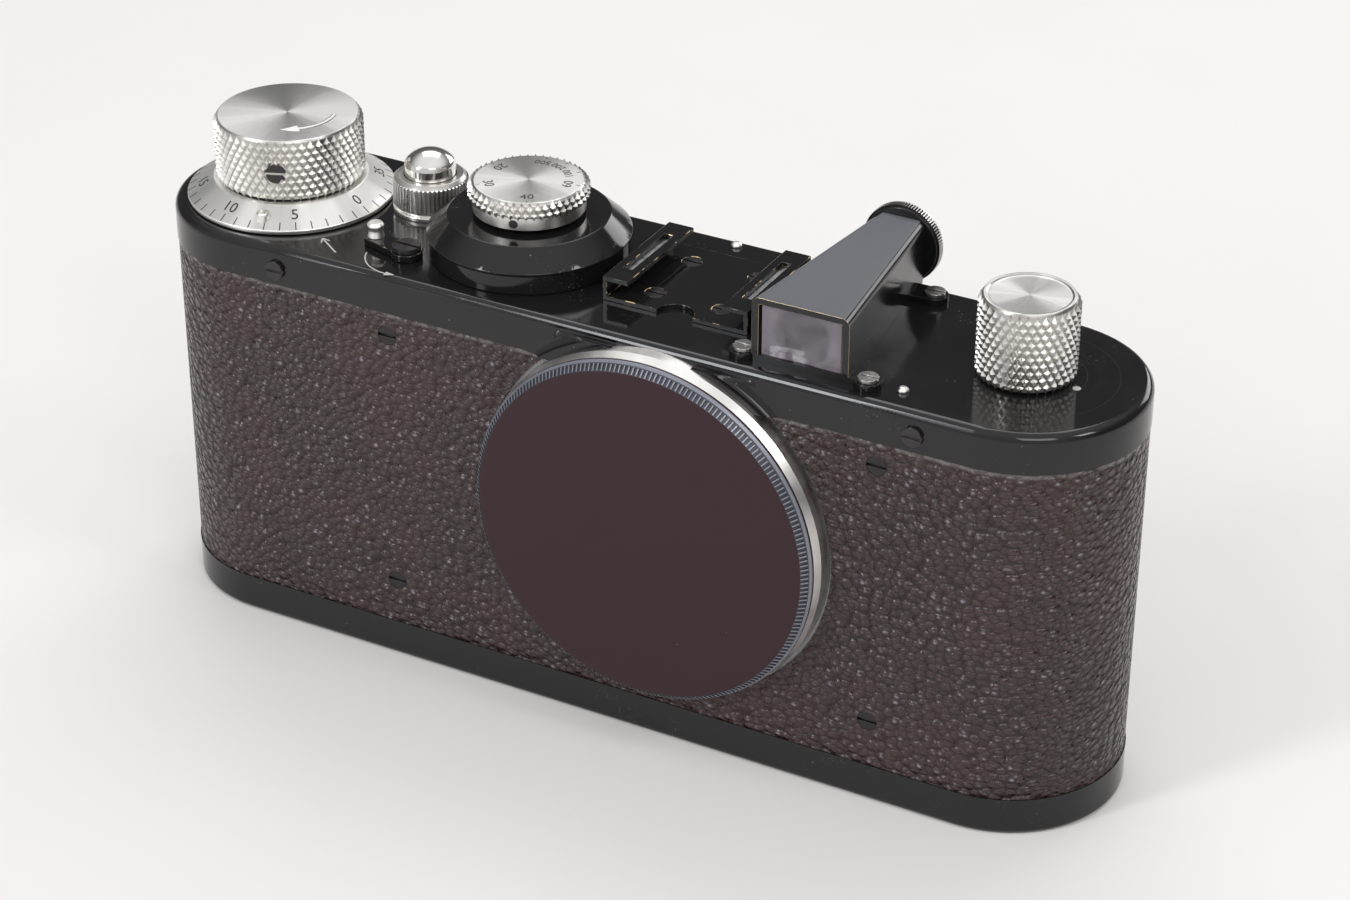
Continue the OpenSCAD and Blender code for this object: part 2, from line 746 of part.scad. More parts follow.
module take_up_spool() {
    foot_z = tripod_bush_h + air;
    core_z = shelf_top - frame_t;
    flange_h = 1;
    neck_r = spool_r - 0.8;
    grip_r = spool_r + 0.6;
    grip_h = 2.5;
    grip_points = 24;
    grip_depth = 0.3;
    slit_w = 0.8;
    slit_in = wind_shaft_r + 1;
    slit_margin = 4;
    color("#303032") translate([wind_x, 0, 0]) difference() {
        union() {
            translate([0, 0, core_z]) cylinder(r = spool_r, h = frame_z - air - core_z);
            translate([0, 0, core_z]) cylinder(r = spool_flange_r, h = flange_h);
            translate([0, 0, foot_z]) cylinder(r = neck_r, h = core_z - foot_z);
            translate([0, 0, foot_z]) linear_extrude(grip_h) star(grip_r, grip_points, grip_depth);
        }
        translate([0, 0, wind_shaft_end - seat_fit]) cylinder(r = wind_shaft_r + seat_fit, h = frame_z);
        translate([-spool_r - cut, -slit_w / 2, shelf_top + slit_margin])
            cube([spool_r + cut - slit_in, slit_w, film_w - 2 * slit_margin]);
    }
}

module counter_dial() {
    color("silver") translate([wind_x, 0, counter_z]) difference() {
        union() {
            cylinder(r = counter_r, h = counter_edge);
            translate([0, 0, counter_edge])
                cylinder(r1 = counter_r, r2 = counter_top_r, h = counter_h - counter_edge);
        }
        translate([0, 0, -cut]) cylinder(r = wind_bush_r + run_fit, h = counter_h + 2 * cut);
        counter_stud_places() translate([0, 0, -counter_stud_depth])
            cylinder(r = counter_stud_r + seat_fit, h = counter_stud_depth + cut, $fn = 32);
    }
}

// Places of the counter studs, halfway up the cone
module counter_stud_places() {
    mid_r = (counter_r + counter_top_r) / 2;
    for (a = counter_stud_at) rotate(a) translate([mid_r, 0, (counter_h + counter_edge) / 2]) children();
}

module counter_studs() {
    proud = 0.8;
    tip_r = 0.35;
    tip_h = 0.2;
    color("gainsboro") translate([wind_x, 0, counter_z]) counter_stud_places() {
        translate([0, 0, -counter_stud_depth])
            cylinder(r = counter_stud_r, h = counter_stud_depth + proud, $fn = 32);
        translate([0, 0, proud]) cylinder(r1 = counter_stud_r, r2 = tip_r, h = tip_h, $fn = 32);
    }
}

module release_button() {
    dome_r = (button_r * button_r + button_dome_h * button_dome_h) / (2 * button_dome_h);
    color("gainsboro") translate([release_x, release_y, 0]) {
        difference() {
            union() {
                translate([0, 0, button_z]) cylinder(r = button_r, h = button_rim_z - button_z);
                intersection() {
                    translate([0, 0, button_rim_z]) cylinder(r = button_r, h = 2 * button_dome_h);
                    translate([0, 0, button_rim_z + button_dome_h - dome_r]) sphere(r = dome_r);
                }
            }
            translate([0, 0, button_z - cut])
                cylinder(r = button_r - button_wall, h = button_ceiling - button_z + cut);
        }
        translate([0, 0, stem_end]) cylinder(r = stem_r, h = button_ceiling + button_roof / 2 - stem_end);
    }
}

module release_collar() {
    foot_r = collar_r + 0.1;
    foot_h = 1;
    serration = 0.3;
    color("darkgray") translate([release_x, release_y, body_h]) difference() {
        union() {
            cylinder(r = foot_r, h = foot_h);
            translate([0, 0, foot_h]) linear_extrude(collar_h - foot_h)
                star(collar_r, collar_teeth, serration);
        }
        translate([0, 0, collar_floor]) cylinder(r = button_r + run_fit, h = collar_h);
        translate([0, 0, -cut]) cylinder(r = stem_r + run_fit, h = collar_h);
    }
}

module release_spring() {
    wire_r = 0.2;
    coil_r = (stem_r + button_r - button_wall) / 2;
    turns = 4;
    h = button_ceiling - spring_floor - 2 * seat_fit;
    color("silver") translate([release_x, release_y, spring_floor + seat_fit])
        linear_extrude(h, twist = -360 * turns, slices = 14 * turns, $fn = 0)
            translate([coil_r, 0]) circle(r = wire_r, $fn = 8);
}

module film_sprocket() {
    wheel_h = 2.6;
    waist_r = sprocket_r - 1;
    tooth_r = 0.95;
    tooth_tip_r = 0.55;
    tooth_h = 1.1;
    tooth_root = 0.3;
    teeth = 8;
    color("silver") translate([release_x, release_y, 0]) {
        translate([0, 0, pivot_z]) cylinder(r = pivot_r, h = gear_top + air - pivot_z);
        translate([0, 0, shelf_top + air]) cylinder(r = waist_r, h = film_w);
        for (s = [-1, 1]) translate([0, 0, lens_z + s * sprocket_rows / 2]) {
            translate([0, 0, -wheel_h / 2]) cylinder(r = sprocket_r, h = wheel_h);
            for (i = [0:teeth - 1]) rotate((i + 0.5) * 360 / teeth) translate([sprocket_r - tooth_root, 0, 0])
                rotate([0, 90, 0]) cylinder(r1 = tooth_r, r2 = tooth_tip_r, h = tooth_h, $fn = 24);
        }
    }
}

module sprocket_gear() {
    color("goldenrod") translate([release_x, release_y, 0])
        gear(sprocket_teeth, sprocket_tooth_at, pivot_r + seat_fit);
}

module shutter_drum() {
    color("dimgray") translate([drum_x, 0, 0]) {
        translate([0, 0, pivot_z]) cylinder(r = pivot_r, h = gear_top + curtain_gap - pivot_z);
        translate([0, 0, shelf_top + air]) cylinder(r = drum_r, h = frame_z - shelf_top - 2 * air);
    }
}

module drum_gear() {
    color("goldenrod") translate([drum_x, 0, 0]) gear(drum_teeth, drum_tooth_at, pivot_r + seat_fit);
}

// Spring roller of a curtain, standing between the shelf and the top frame
module roller(at) {
    tip_l = 1;
    translate([at.x, at.y, 0]) {
        translate([0, 0, shelf_top - tip_l])
            cylinder(r = roller_tip_r, h = frame_z - shelf_top + 2 * tip_l, $fn = 32);
        translate([0, 0, shelf_top + air]) cylinder(r = roller_r, h = frame_z - shelf_top - 2 * air);
    }
}

module first_roller() {
    color("silver") roller(first_roller_at);
}

module second_roller() {
    color("silver") roller(second_roller_at);
}

module curtain(to_x, y) {
    translate([drum_x, y, lens_z - curtain_h / 2]) cube([to_x - drum_x, curtain_t, curtain_h]);
}

module first_curtain() {
    color("#202020") curtain(first_roller_at.x, drum_r + curtain_step + curtain_gap);
}

module second_curtain() {
    color("#282828") curtain(second_roller_at.x, drum_r + curtain_gap);
}

// Plan of the crate, between the spool chamber and the cassette chamber
module crate_plan() {
    difference() {
        translate([-crate_end, -crate_front]) square([2 * crate_end, crate_front + gate_y]);
        for (x = [wind_x, rewind_x]) translate([x, 0]) circle(r = chamber_r);
    }
}

// Outlines of the pivot holes of the sprocket, the drum and the rollers
module pivot_holes() {
    for (p = [[release_x, release_y], [drum_x, 0]]) translate(p) circle(r = pivot_r + run_fit);
    for (p = [first_roller_at, second_roller_at]) translate(p) circle(r = roller_tip_r + run_fit, $fn = 32);
}

// Wall of the crate where its plan meets the given outline
module crate_wall() {
    translate([0, 0, crate_wall_z]) linear_extrude(frame_z - crate_wall_z) intersection() {
        crate_plan();
        children();
    }
}

module shutter_crate() {
    color("#4a4a4c") difference() {
        union() {
            translate([0, 0, shelf_top - frame_t]) linear_extrude(frame_t) difference() {
                crate_plan();
                pivot_holes();
            }
            crate_wall() translate([-crate_end, -crate_front]) square([2 * crate_end, crate_t]);
            crate_wall() intersection() {
                translate([rewind_x, 0]) circle(r = chamber_r + crate_t);
                translate([0, -crate_front]) square([rewind_x, crate_front + gate_y]);
            }
            crate_wall() intersection() {
                translate([wind_x, 0]) circle(r = chamber_r + crate_t);
                translate([wind_x, -crate_front]) square([rewind_x, crate_front - film_way]);
            }
        }
        on_lens_axis() cylinder(r = throat_r, h = end_r);
        for (p = covering_screw_at) translate([p.x, -end_r, p.y]) rotate([-90, 0, 0])
            cylinder(r = shank_r + seat_fit, h = shell_off + shell_t + crate_t + cut);
    }
}

module top_frame() {
    color("#55565a") translate([0, 0, frame_z]) linear_extrude(frame_t) difference() {
        union() {
            translate([wind_x, -crate_front]) square([crate_end - wind_x, crate_front + gate_y]);
            translate([wind_x, 0]) circle(r = crate_front);
        }
        translate([rewind_x, 0]) circle(r = chamber_r);
        translate([wind_x, 0]) circle(r = wind_shaft_r + run_fit);
        pivot_holes();
    }
}

module film_gate() {
    gate_from = release_x + sprocket_r + 1.4;
    gate_to = rewind_x - chamber_r + 2;
    gate_l = gate_to - gate_from;
    rail_h = 0.3;
    rail_band = 1.4;
    rail_off = frame_h / 2 + 1.2;
    color("#2c2c2e") difference() {
        union() {
            translate([gate_from, gate_y, shelf_top - frame_t])
                cube([gate_l, gate_t - rail_h, frame_z - shelf_top + frame_t]);
            for (s = [-1, 1]) translate([gate_from, gate_y, lens_z + s * rail_off - rail_band / 2])
                cube([gate_l, gate_t, rail_band]);
        }
        translate([lens_x - frame_w / 2, gate_y - cut, lens_z - frame_h / 2])
            cube([frame_w, gate_t + 2 * cut, frame_h]);
    }
}

module pressure_plate() {
    over = 6;
    color("#242426") translate([lens_x - frame_w / 2 - over, pressure_y, lens_z - film_w / 2])
        cube([frame_w + 2 * over, pressure_t, film_w]);
}

module pressure_springs() {
    spring_t = 0.2;
    spring_w = 4;
    off = 9;
    gap = chamber_r - pressure_y - pressure_t - seat_fit;
    color("goldenrod") for (s = [-1, 1])
        translate([lens_x, chamber_r - spring_t - seat_fit, lens_z + s * off])
            leaf(frame_w, gap - spring_t - seat_fit, spring_t, spring_w);
}

module speed_dial() {
    color("silver") translate([drum_x, 0, dial_z]) difference() {
        union() {
            cylinder(r = dial_skirt_r, h = dial_h - dial_rim_h);
            translate([0, 0, dial_h - dial_rim_h]) knurl(dial_r, dial_rim_h - dial_lip);
            translate([0, 0, dial_h - dial_lip]) cylinder(r1 = dial_r - knurl_depth - knurl_step,
                r2 = dial_r - knurl_depth - dial_lip, h = dial_lip);
        }
        translate([0, 0, -cut]) cylinder(r = dial_skirt_r - dial_wall, h = dial_h - dial_roof + cut);
        translate([0, 0, -cut]) cylinder(r = spindle_r + run_fit, h = dial_h - dial_roof / 2 + cut);
        translate([0, 0, (dial_h - dial_rim_h) / 2]) rotate([90, 0, dial_screw_at])
            cylinder(r = dial_screw_r + seat_fit, h = dial_r + cut, $fn = 32);
    }
}

module speed_dial_screw() {
    color("gainsboro") translate([drum_x, 0, dial_z + (dial_h - dial_rim_h) / 2])
        rotate([90, 0, dial_screw_at]) translate([0, 0, dial_skirt_r - dial_wall])
            cylinder(r = dial_screw_r, h = dial_screw_l, $fn = 32);
}

module speed_spindle() {
    collar_z = gear_top + air;
    top = dial_top - dial_roof / 2 - 2 * run_fit;
    color("darkgray") translate([drum_x, 0, collar_z]) {
        cylinder(r = spindle_r + spindle_collar_w, h = plate_z - air - collar_z);
        cylinder(r = spindle_r, h = top - collar_z);
    }
}

module dial_turret() {
    bore_r = spindle_r + run_fit;
    wall_r = turret_rim_r - turret_lip_w;
    lip_h = 0.3;
    color("#111111") translate([drum_x, 0, body_h]) rotate_extrude() polygon([
        [bore_r, 0], [wall_r, 0], [wall_r, turret_rim_h - lip_h], [turret_rim_r, turret_rim_h],
        [turret_top_r, turret_h], [bore_r, turret_h]]);
}

module rewind_lever() {
    boss_r = 2;
    tip_r = 1.5;
    color("gainsboro") translate([lever_x, lever_y, body_h + lever_gap]) rotate(lever_angle)
        linear_extrude(lever_t) difference() {
            union() {
                circle(r = boss_r);
                translate([0, -tip_r]) square([lever_l, 2 * tip_r]);
                translate([lever_l, 0]) circle(r = tip_r);
            }
            circle(r = shank_r + run_fit);
            translate([lever_l, 0]) circle(r = lever_post_r + seat_fit);
        }
}

module lever_post() {
    foot_r = 1.1;
    waist_r = 0.85;
    waist_h = 0.9;
    head_h = 1.6;
    post_h = 2;
    tip_r = 0.8;
    color("white") translate([lever_x, lever_y, body_h + lever_gap]) rotate(lever_angle)
        translate([lever_l, 0, 0]) {
            cylinder(r = lever_post_r, h = lever_t + lever_gap, $fn = 32);
            translate([0, 0, lever_t]) rotate_extrude($fn = 48) polygon([[0, 0], [foot_r, 0],
                [waist_r, waist_h], [foot_r, head_h], [tip_r, post_h], [0, post_h]]);
        }
}

module lever_screw() {
    head_r = 1.8;
    head_h = 0.6;
    top = lever_t + head_h + 2 * lever_gap;
    color("silver") translate([lever_x, lever_y, body_h + top]) screw(head_r, head_h, top + cover_t);
}

module accessory_shoe() {
    window_w = 1.2;
    window_l = shoe_l * 0.62;
    through_l = shoe_l + 2 * cut;
    color("#15151a") translate([shoe_x, shoe_y, body_h]) difference() {
        translate([-shoe_w / 2, -shoe_l / 2, 0]) cube([shoe_w, shoe_l, shoe_h]);
        translate([-shoe_slot_w / 2, -through_l / 2, shoe_t]) cube([shoe_slot_w, through_l, shoe_slot_h]);
        translate([-shoe_gap / 2, -through_l / 2, shoe_t]) cube([shoe_gap, through_l, shoe_h]);
        translate([0, -shoe_l / 2, -cut]) cylinder(r = shoe_notch_r, h = shoe_t + 2 * cut);
        for (s = [-1, 1]) translate([s * (shoe_gap + rail_w) / 2 - window_w / 2, -window_l / 2, shoe_h - cut])
            cube([window_w, window_l, 2 * cut]);
        for (p = shoe_screw_at) translate([p.x - shoe_x, p.y - shoe_y, -cut])
            cylinder(r = screw_r + seat_fit, h = shoe_t + 2 * cut);
    }
}

module shoe_springs() {
    strip_t = 0.3;
    strip_w = rail_w - shoe_t - 0.4;
    strip_l = shoe_l * 0.8;
    off = (shoe_slot_w - strip_w) / 2 - 0.1;
    color("silver") for (s = [-1, 1])
        translate([shoe_x + s * off, shoe_y, body_h + shoe_h - shoe_t - strip_t - seat_fit])
            translate([-strip_w / 2, -strip_l / 2, 0]) cube([strip_w, strip_l, strip_t]);
}

module shoe_screws() {
    color("dimgray") for (p = shoe_screw_at) translate([p.x, p.y, body_h + shoe_t])
        screw(screw_r, shoe_t, shoe_t + cover_t);
}

// Plan of the viewfinder's tapered tube, set in by off
module finder_plan(off) {
    front = finder_front_w / 2 - off;
    back = finder_back_w / 2 - off;
    over = off > 0 ? cut : 0;
    polygon([[-front, finder_front_y - over], [front, finder_front_y - over],
             [back, finder_back_y + over], [-back, finder_back_y + over]]);
}

module finder_section(w, y, slice) {
    translate([0, y, 0]) rotate([90, 0, 0]) linear_extrude(slice) hull() {
        translate([-w / 2, 0]) square([w, finder_h - finder_round]);
        for (s = [-1, 1]) translate([s * (w / 2 - finder_round), finder_h - finder_round])
            circle(r = finder_round, $fn = 32);
    }
}

module finder_housing() {
    slice = 0.02;
    color("#161616") translate([finder_x, 0, body_h]) difference() {
        union() {
            hull() {
                finder_section(finder_front_w, finder_front_y + slice, slice);
                finder_section(finder_back_w, finder_back_y, slice);
            }
            linear_extrude(ear_t) for (p = ears) {
                neck_y = max(p.y - ear_r, finder_front_y);
                translate([p.x - finder_x, p.y]) circle(r = ear_r);
                translate([min(0, p.x - finder_x), neck_y])
                    square([abs(p.x - finder_x), p.y + ear_r - neck_y]);
            }
        }
        translate([0, 0, finder_t]) linear_extrude(finder_h - 2 * finder_t) finder_plan(finder_t);
        for (p = ears) translate([p.x - finder_x, p.y, -cut])
            cylinder(r = shank_r + seat_fit, h = ear_t + 2 * cut);
    }
}

module finder_front_lens() {
    set_in = 0.4;
    glass_t = 2;
    w = finder_front_w - 2 * finder_t - 0.8;
    h = finder_h - 2 * finder_t - 2 * seat_fit;
    hollow_r = 17;
    hollow = 0.5;
    color("#8a7f8c") translate([finder_x, finder_front_y + set_in, body_h + finder_h / 2]) difference() {
        translate([-w / 2, 0, -h / 2]) cube([w, glass_t, h]);
        translate([0, hollow - hollow_r, 0]) sphere(r = hollow_r);
    }
}

module eyepiece_ring() {
    points = 60;
    serration = 0.25;
    color("#141414") translate([finder_x, finder_back_y, body_h + eyepiece_h]) rotate([-90, 0, 0])
        difference() {
            linear_extrude(eyepiece_t) star(eyepiece_r, points, serration);
            translate([0, 0, -cut]) cylinder(r = eye_hole_r, h = eyepiece_t + 2 * cut);
            translate([0, 0, eye_seat]) cylinder(r = eye_glass_r, h = eyepiece_t);
        }
}

module eyepiece_lens() {
    glass_t = 1;
    dome_r = 10;
    color("#8c9298") translate([finder_x, finder_back_y + eye_seat, body_h + eyepiece_h]) rotate([-90, 0, 0])
        intersection() {
            cylinder(r = eye_glass_r - seat_fit, h = glass_t);
            translate([0, 0, glass_t - dome_r]) sphere(r = dome_r);
        }
}

module finder_screws() {
    color("dimgray") for (p = ears) translate([p.x, p.y, body_h + ear_t + screw_head_h])
        screw(screw_r, screw_head_h, screw_head_h + ear_t + cover_t);
}

module rewind_knob() {
    lip = 0.7;
    dish = 0.5;
    color("lightgray") translate([rewind_x, 0, rewind_z])
        knurled_knob(rewind_r, rewind_h, rewind_spindle_r + run_fit, rewind_h - knob_roof, lip, dish);
}

module rewind_spindle() {
    fork_z = frame_z - 2.4;
    fork_slot = 1.2;
    fork_depth = 3.2;
    top = rewind_z + rewind_h - knob_roof - knob_gap;
    color("silver") translate([rewind_x, 0, 0]) difference() {
        translate([0, 0, fork_z]) cylinder(r = rewind_spindle_r, h = top - fork_z);
        translate([-cut - rewind_spindle_r, -fork_slot / 2, fork_z - cut])
            cube([2 * (cut + rewind_spindle_r), fork_slot, fork_depth + cut]);
    }
}

module rewind_bush() {
    color("goldenrod") translate([rewind_x, 0, 0])
        plate_bush(rewind_bush_r, cover_t, rewind_spindle_r + run_fit);
}

module base_plate() {
    color("#111111") difference() {
        translate([0, 0, base_h]) mirror([0, 0, 1]) track_rounded(base_h, base_edge_r);
        translate([0, 0, base_t]) linear_extrude(base_h) track(rim_t);
        translate([rewind_x, 0, -cut]) cylinder(r = lock_r + run_fit, h = base_t + 2 * cut);
        translate([wind_x, 0, -cut]) cylinder(r = tripod_bush_r + seat_fit, h = base_t + 2 * cut);
        on_lens_axis() cylinder(r = flange_r + flange_gap, h = end_r + cut);
    }
}

module base_hook() {
    hook_t = 0.9;
    hook_w = 8;
    hook_h = 6;
    hook_r = chamber_r - air;
    color("silver") intersection() {
        translate([wind_x, 0, base_t]) ring(hook_r, hook_r - hook_t, hook_h);
        translate([-body_l / 2, -hook_w / 2, base_t]) cube([end_r, hook_w, hook_h]);
    }
}

module tripod_bush() {
    flange_h = 1;
    color("goldenrod") translate([wind_x, 0, 0]) difference() {
        union() {
            cylinder(r = tripod_bush_r, h = tripod_bush_h);
            translate([0, 0, base_t]) cylinder(r = tripod_flange_r, h = flange_h);
        }
        translate([0, 0, -cut]) cylinder(r = tripod_bore_r, h = tripod_bush_h - tripod_roof + cut);
    }
}

module lock_disc() {
    edge_x = handle_t / 2 + 0.2;
    pin_hole_l = 2 * pin_out + 0.2;
    color("lightgray") translate([rewind_x, 0, 0]) difference() {
        union() {
            cylinder(r = lock_r, h = base_t + run_fit);
            translate([0, 0, base_t + run_fit]) cylinder(r = lock_flange_r, h = lock_h - base_t - run_fit);
        }
        translate([0, 0, -cut]) linear_extrude(handle_room_h + cut) intersection() {
            circle(r = handle_room_r);
            translate([-edge_x, -handle_room_r]) square([2 * handle_room_r, 2 * handle_room_r]);
        }
        translate([0, 0, handle_axis_z]) rotate([90, 0, 0])
            cylinder(r = pin_r + seat_fit, h = pin_hole_l, center = true, $fn = 32);
    }
}

module lock_claw() {
    hub_r = 4;
    claw_w = 5;
    claw_l = 2 * (chamber_r - 1.2);
    color("silver") translate([rewind_x, 0, lock_h + seat_fit]) linear_extrude(claw_t) {
        circle(r = hub_r);
        square([claw_w, claw_l], center = true);
    }
}

module lock_handle() {
    grip_w = 2.4;
    bar_w = 1.6;
    barrel_l = 2 * handle_r - 1;
    pin_hole_l = 5;
    color("silver") translate([rewind_x, 0, handle_axis_z]) difference() {
        union() {
            translate([0, 0, -handle_t / 2]) linear_extrude(handle_t) difference() {
                intersection() {
                    circle(r = handle_r);
                    translate([0, -handle_r]) square([handle_r, 2 * handle_r]);
                }
                intersection() {
                    circle(r = handle_r - grip_w);
                    translate([bar_w, -handle_r]) square([handle_r, 2 * handle_r]);
                }
            }
            rotate([90, 0, 0]) cylinder(r = handle_t / 2, h = barrel_l, center = true, $fn = 32);
        }
        for (s = [-1, 1]) translate([0, s * handle_r, 0]) rotate([90, 0, 0])
            cylinder(r = pin_r + run_fit, h = pin_hole_l, center = true, $fn = 32);
    }
}

module handle_pins() {
    color("gainsboro") for (s = [-1, 1]) translate([rewind_x, s * (pin_in + pin_out) / 2, handle_axis_z])
        rotate([90, 0, 0]) cylinder(r = pin_r, h = pin_out - pin_in, center = true, $fn = 32);
}

body_shell();
body_covering();
covering_screws();
top_cover();
top_cover_screws();
plate_studs();
lens_flange();
flange_screws();
body_cap();
wind_knob();
wind_knob_screw();
wind_shaft();
wind_bush();
wind_gear();
take_up_spool();
counter_dial();
counter_studs();
release_button();
release_collar();
release_spring();
film_sprocket();
sprocket_gear();
shutter_drum();
drum_gear();
first_roller();
second_roller();
first_curtain();
second_curtain();
shutter_crate();
top_frame();
film_gate();
pressure_plate();
pressure_springs();
speed_dial();
speed_dial_screw();
speed_spindle();
dial_turret();
rewind_lever();
lever_post();
lever_screw();
accessory_shoe();
shoe_springs();
shoe_screws();
finder_housing();
finder_front_lens();
eyepiece_ring();
eyepiece_lens();
finder_screws();
rewind_knob();
rewind_spindle();
rewind_bush();
base_plate();
base_hook();
tripod_bush();
lock_disc();
lock_claw();
lock_handle();
handle_pins();
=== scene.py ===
import json
import math
import bpy
import bmesh
from mathutils import Matrix, Vector


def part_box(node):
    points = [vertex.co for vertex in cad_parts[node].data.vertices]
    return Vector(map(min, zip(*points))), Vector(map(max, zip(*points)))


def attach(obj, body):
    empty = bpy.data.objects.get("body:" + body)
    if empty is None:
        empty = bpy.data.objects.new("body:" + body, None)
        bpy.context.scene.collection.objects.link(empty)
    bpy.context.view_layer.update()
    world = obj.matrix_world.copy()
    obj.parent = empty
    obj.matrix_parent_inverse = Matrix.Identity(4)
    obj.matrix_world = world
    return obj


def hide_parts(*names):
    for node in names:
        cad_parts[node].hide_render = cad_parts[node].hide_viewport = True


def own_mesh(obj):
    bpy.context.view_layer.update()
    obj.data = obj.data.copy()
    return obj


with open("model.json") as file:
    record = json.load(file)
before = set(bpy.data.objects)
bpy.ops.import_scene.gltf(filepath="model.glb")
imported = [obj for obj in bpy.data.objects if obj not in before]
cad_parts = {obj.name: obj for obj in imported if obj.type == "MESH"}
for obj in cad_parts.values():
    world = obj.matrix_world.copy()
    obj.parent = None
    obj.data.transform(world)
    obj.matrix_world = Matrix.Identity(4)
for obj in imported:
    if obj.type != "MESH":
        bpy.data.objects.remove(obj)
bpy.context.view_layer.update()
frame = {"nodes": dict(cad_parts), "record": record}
mm = 0.001
scene = bpy.context.scene
scene.view_settings.view_transform = "Standard"
print("frame loaded,", len(frame["nodes"]), "nodes")


# Places and sizes read from the frame, in metres
def middleOf(node):
    low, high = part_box(node)
    return (low + high) / 2


def roundOf(node):
    # corners, middle, radius and height of a piece turned about an upright axis
    low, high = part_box(node)
    return low, high, (low + high) / 2, (high.x - low.x) / 2, high.z - low.z


bodyOf = {node: body for body, nodes in frame["record"]["behaviour"]["bodies"].items() for node in nodes}
slotOf = {row["node"]: row["material_slot"] for row in frame["record"]["subparts"]}


# Node trees
def plug(tree, socket, value):
    if isinstance(value, Wire):
        tree.links.new(value.socket, socket)
    else:
        socket.default_value = value


class Wire:
    # a socket that takes part in Python sums

    def __init__(self, tree, socket):
        self.tree = tree
        self.socket = socket

    def maths(self, operation, *values):
        made = self.tree.nodes.new("ShaderNodeMath")
        made.operation = operation
        for socket, value in zip(made.inputs, values):
            plug(self.tree, socket, value)
        return Wire(self.tree, made.outputs[0])

    def __add__(self, other):
        return self.maths("ADD", self, other)

    def __radd__(self, other):
        return self.maths("ADD", other, self)

    def __sub__(self, other):
        return self.maths("SUBTRACT", self, other)

    def __rsub__(self, other):
        return self.maths("SUBTRACT", other, self)

    def __mul__(self, other):
        return self.maths("MULTIPLY", self, other)

    def __rmul__(self, other):
        return self.maths("MULTIPLY", other, self)

    def __truediv__(self, other):
        return self.maths("DIVIDE", self, other)

    def __pow__(self, other):
        return self.maths("POWER", self, other)

    def between(self, low, high, start=0.0, end=1.0):
        made = self.tree.nodes.new("ShaderNodeMapRange")
        made.interpolation_type = "SMOOTHSTEP"
        for name, value in zip(("Value", "From Min", "From Max", "To Min", "To Max"),
                               (self, low, high, start, end)):
            plug(self.tree, made.inputs[name], value)
        return Wire(self.tree, made.outputs[0])

    def other(self, name):
        return Wire(self.tree, self.socket.node.outputs[name])


class Graph:
    # a node tree that is written node by node

    def __init__(self, tree):
        self.tree = tree

    def node(self, kind, settings=None, values=None, out=0):
        made = self.tree.nodes.new(kind)
        for name, value in (settings or {}).items():
            setattr(made, name, value)
        for name, value in (values or {}).items():
            plug(self.tree, made.inputs[name], value)
        return Wire(self.tree, made.outputs[out]) if made.outputs else made

    def noise(self, size, detail=3.0, where=None):
        values = {"Scale": 1 / size, "Detail": detail, "Vector": where or self.coords}
        return self.node("ShaderNodeTexNoise", None, values)

    def cells(self, size, where=None, feature="F1"):
        values = {"Scale": 1 / size, "Vector": where or self.coords}
        return self.node("ShaderNodeTexVoronoi", {"feature": feature}, values, "Distance")

    def mix(self, factor, first, second):
        made = self.tree.nodes.new("ShaderNodeMix")
        made.data_type = "RGBA"
        sockets = [made.inputs[i] for i in (0, 6, 7)]  # the factor and the two colours
        for socket, value in zip(sockets, (factor, first, second)):
            plug(self.tree, socket, value)
        return Wire(self.tree, made.outputs[2])

    def bump(self, height, depth, strength=1.0):
        return self.node("ShaderNodeBump", None, {"Height": height, "Distance": depth, "Strength": strength})

    def moved(self, centre):
        values = {"Vector": self.coords, "Location": [-c for c in centre]}
        return self.node("ShaderNodeMapping", None, values)

    def around(self, centre, second="Y"):
        # the place about a centre, and how far it lies out in X and a second direction
        split = self.node("ShaderNodeSeparateXYZ", None, {"Vector": self.moved(centre)})
        across = split.other(second)
        return split, (split * split + across * across) ** 0.5


def newFinish(name, colour):
    made = bpy.data.materials.new(name)
    made.use_nodes = True
    made.diffuse_color = (*colour, 1)
    made.node_tree.nodes.clear()
    graph = Graph(made.node_tree)
    graph.coords = graph.node("ShaderNodeTexCoord", out="Object")
    graph.material = made
    return graph


def closeFinish(graph, values):
    shader = graph.node("ShaderNodeBsdfPrincipled", None, values)
    graph.node("ShaderNodeOutputMaterial", None, {"Surface": shader})
    return graph.material


def tint(*rgb):
    return (*rgb, 1.0)


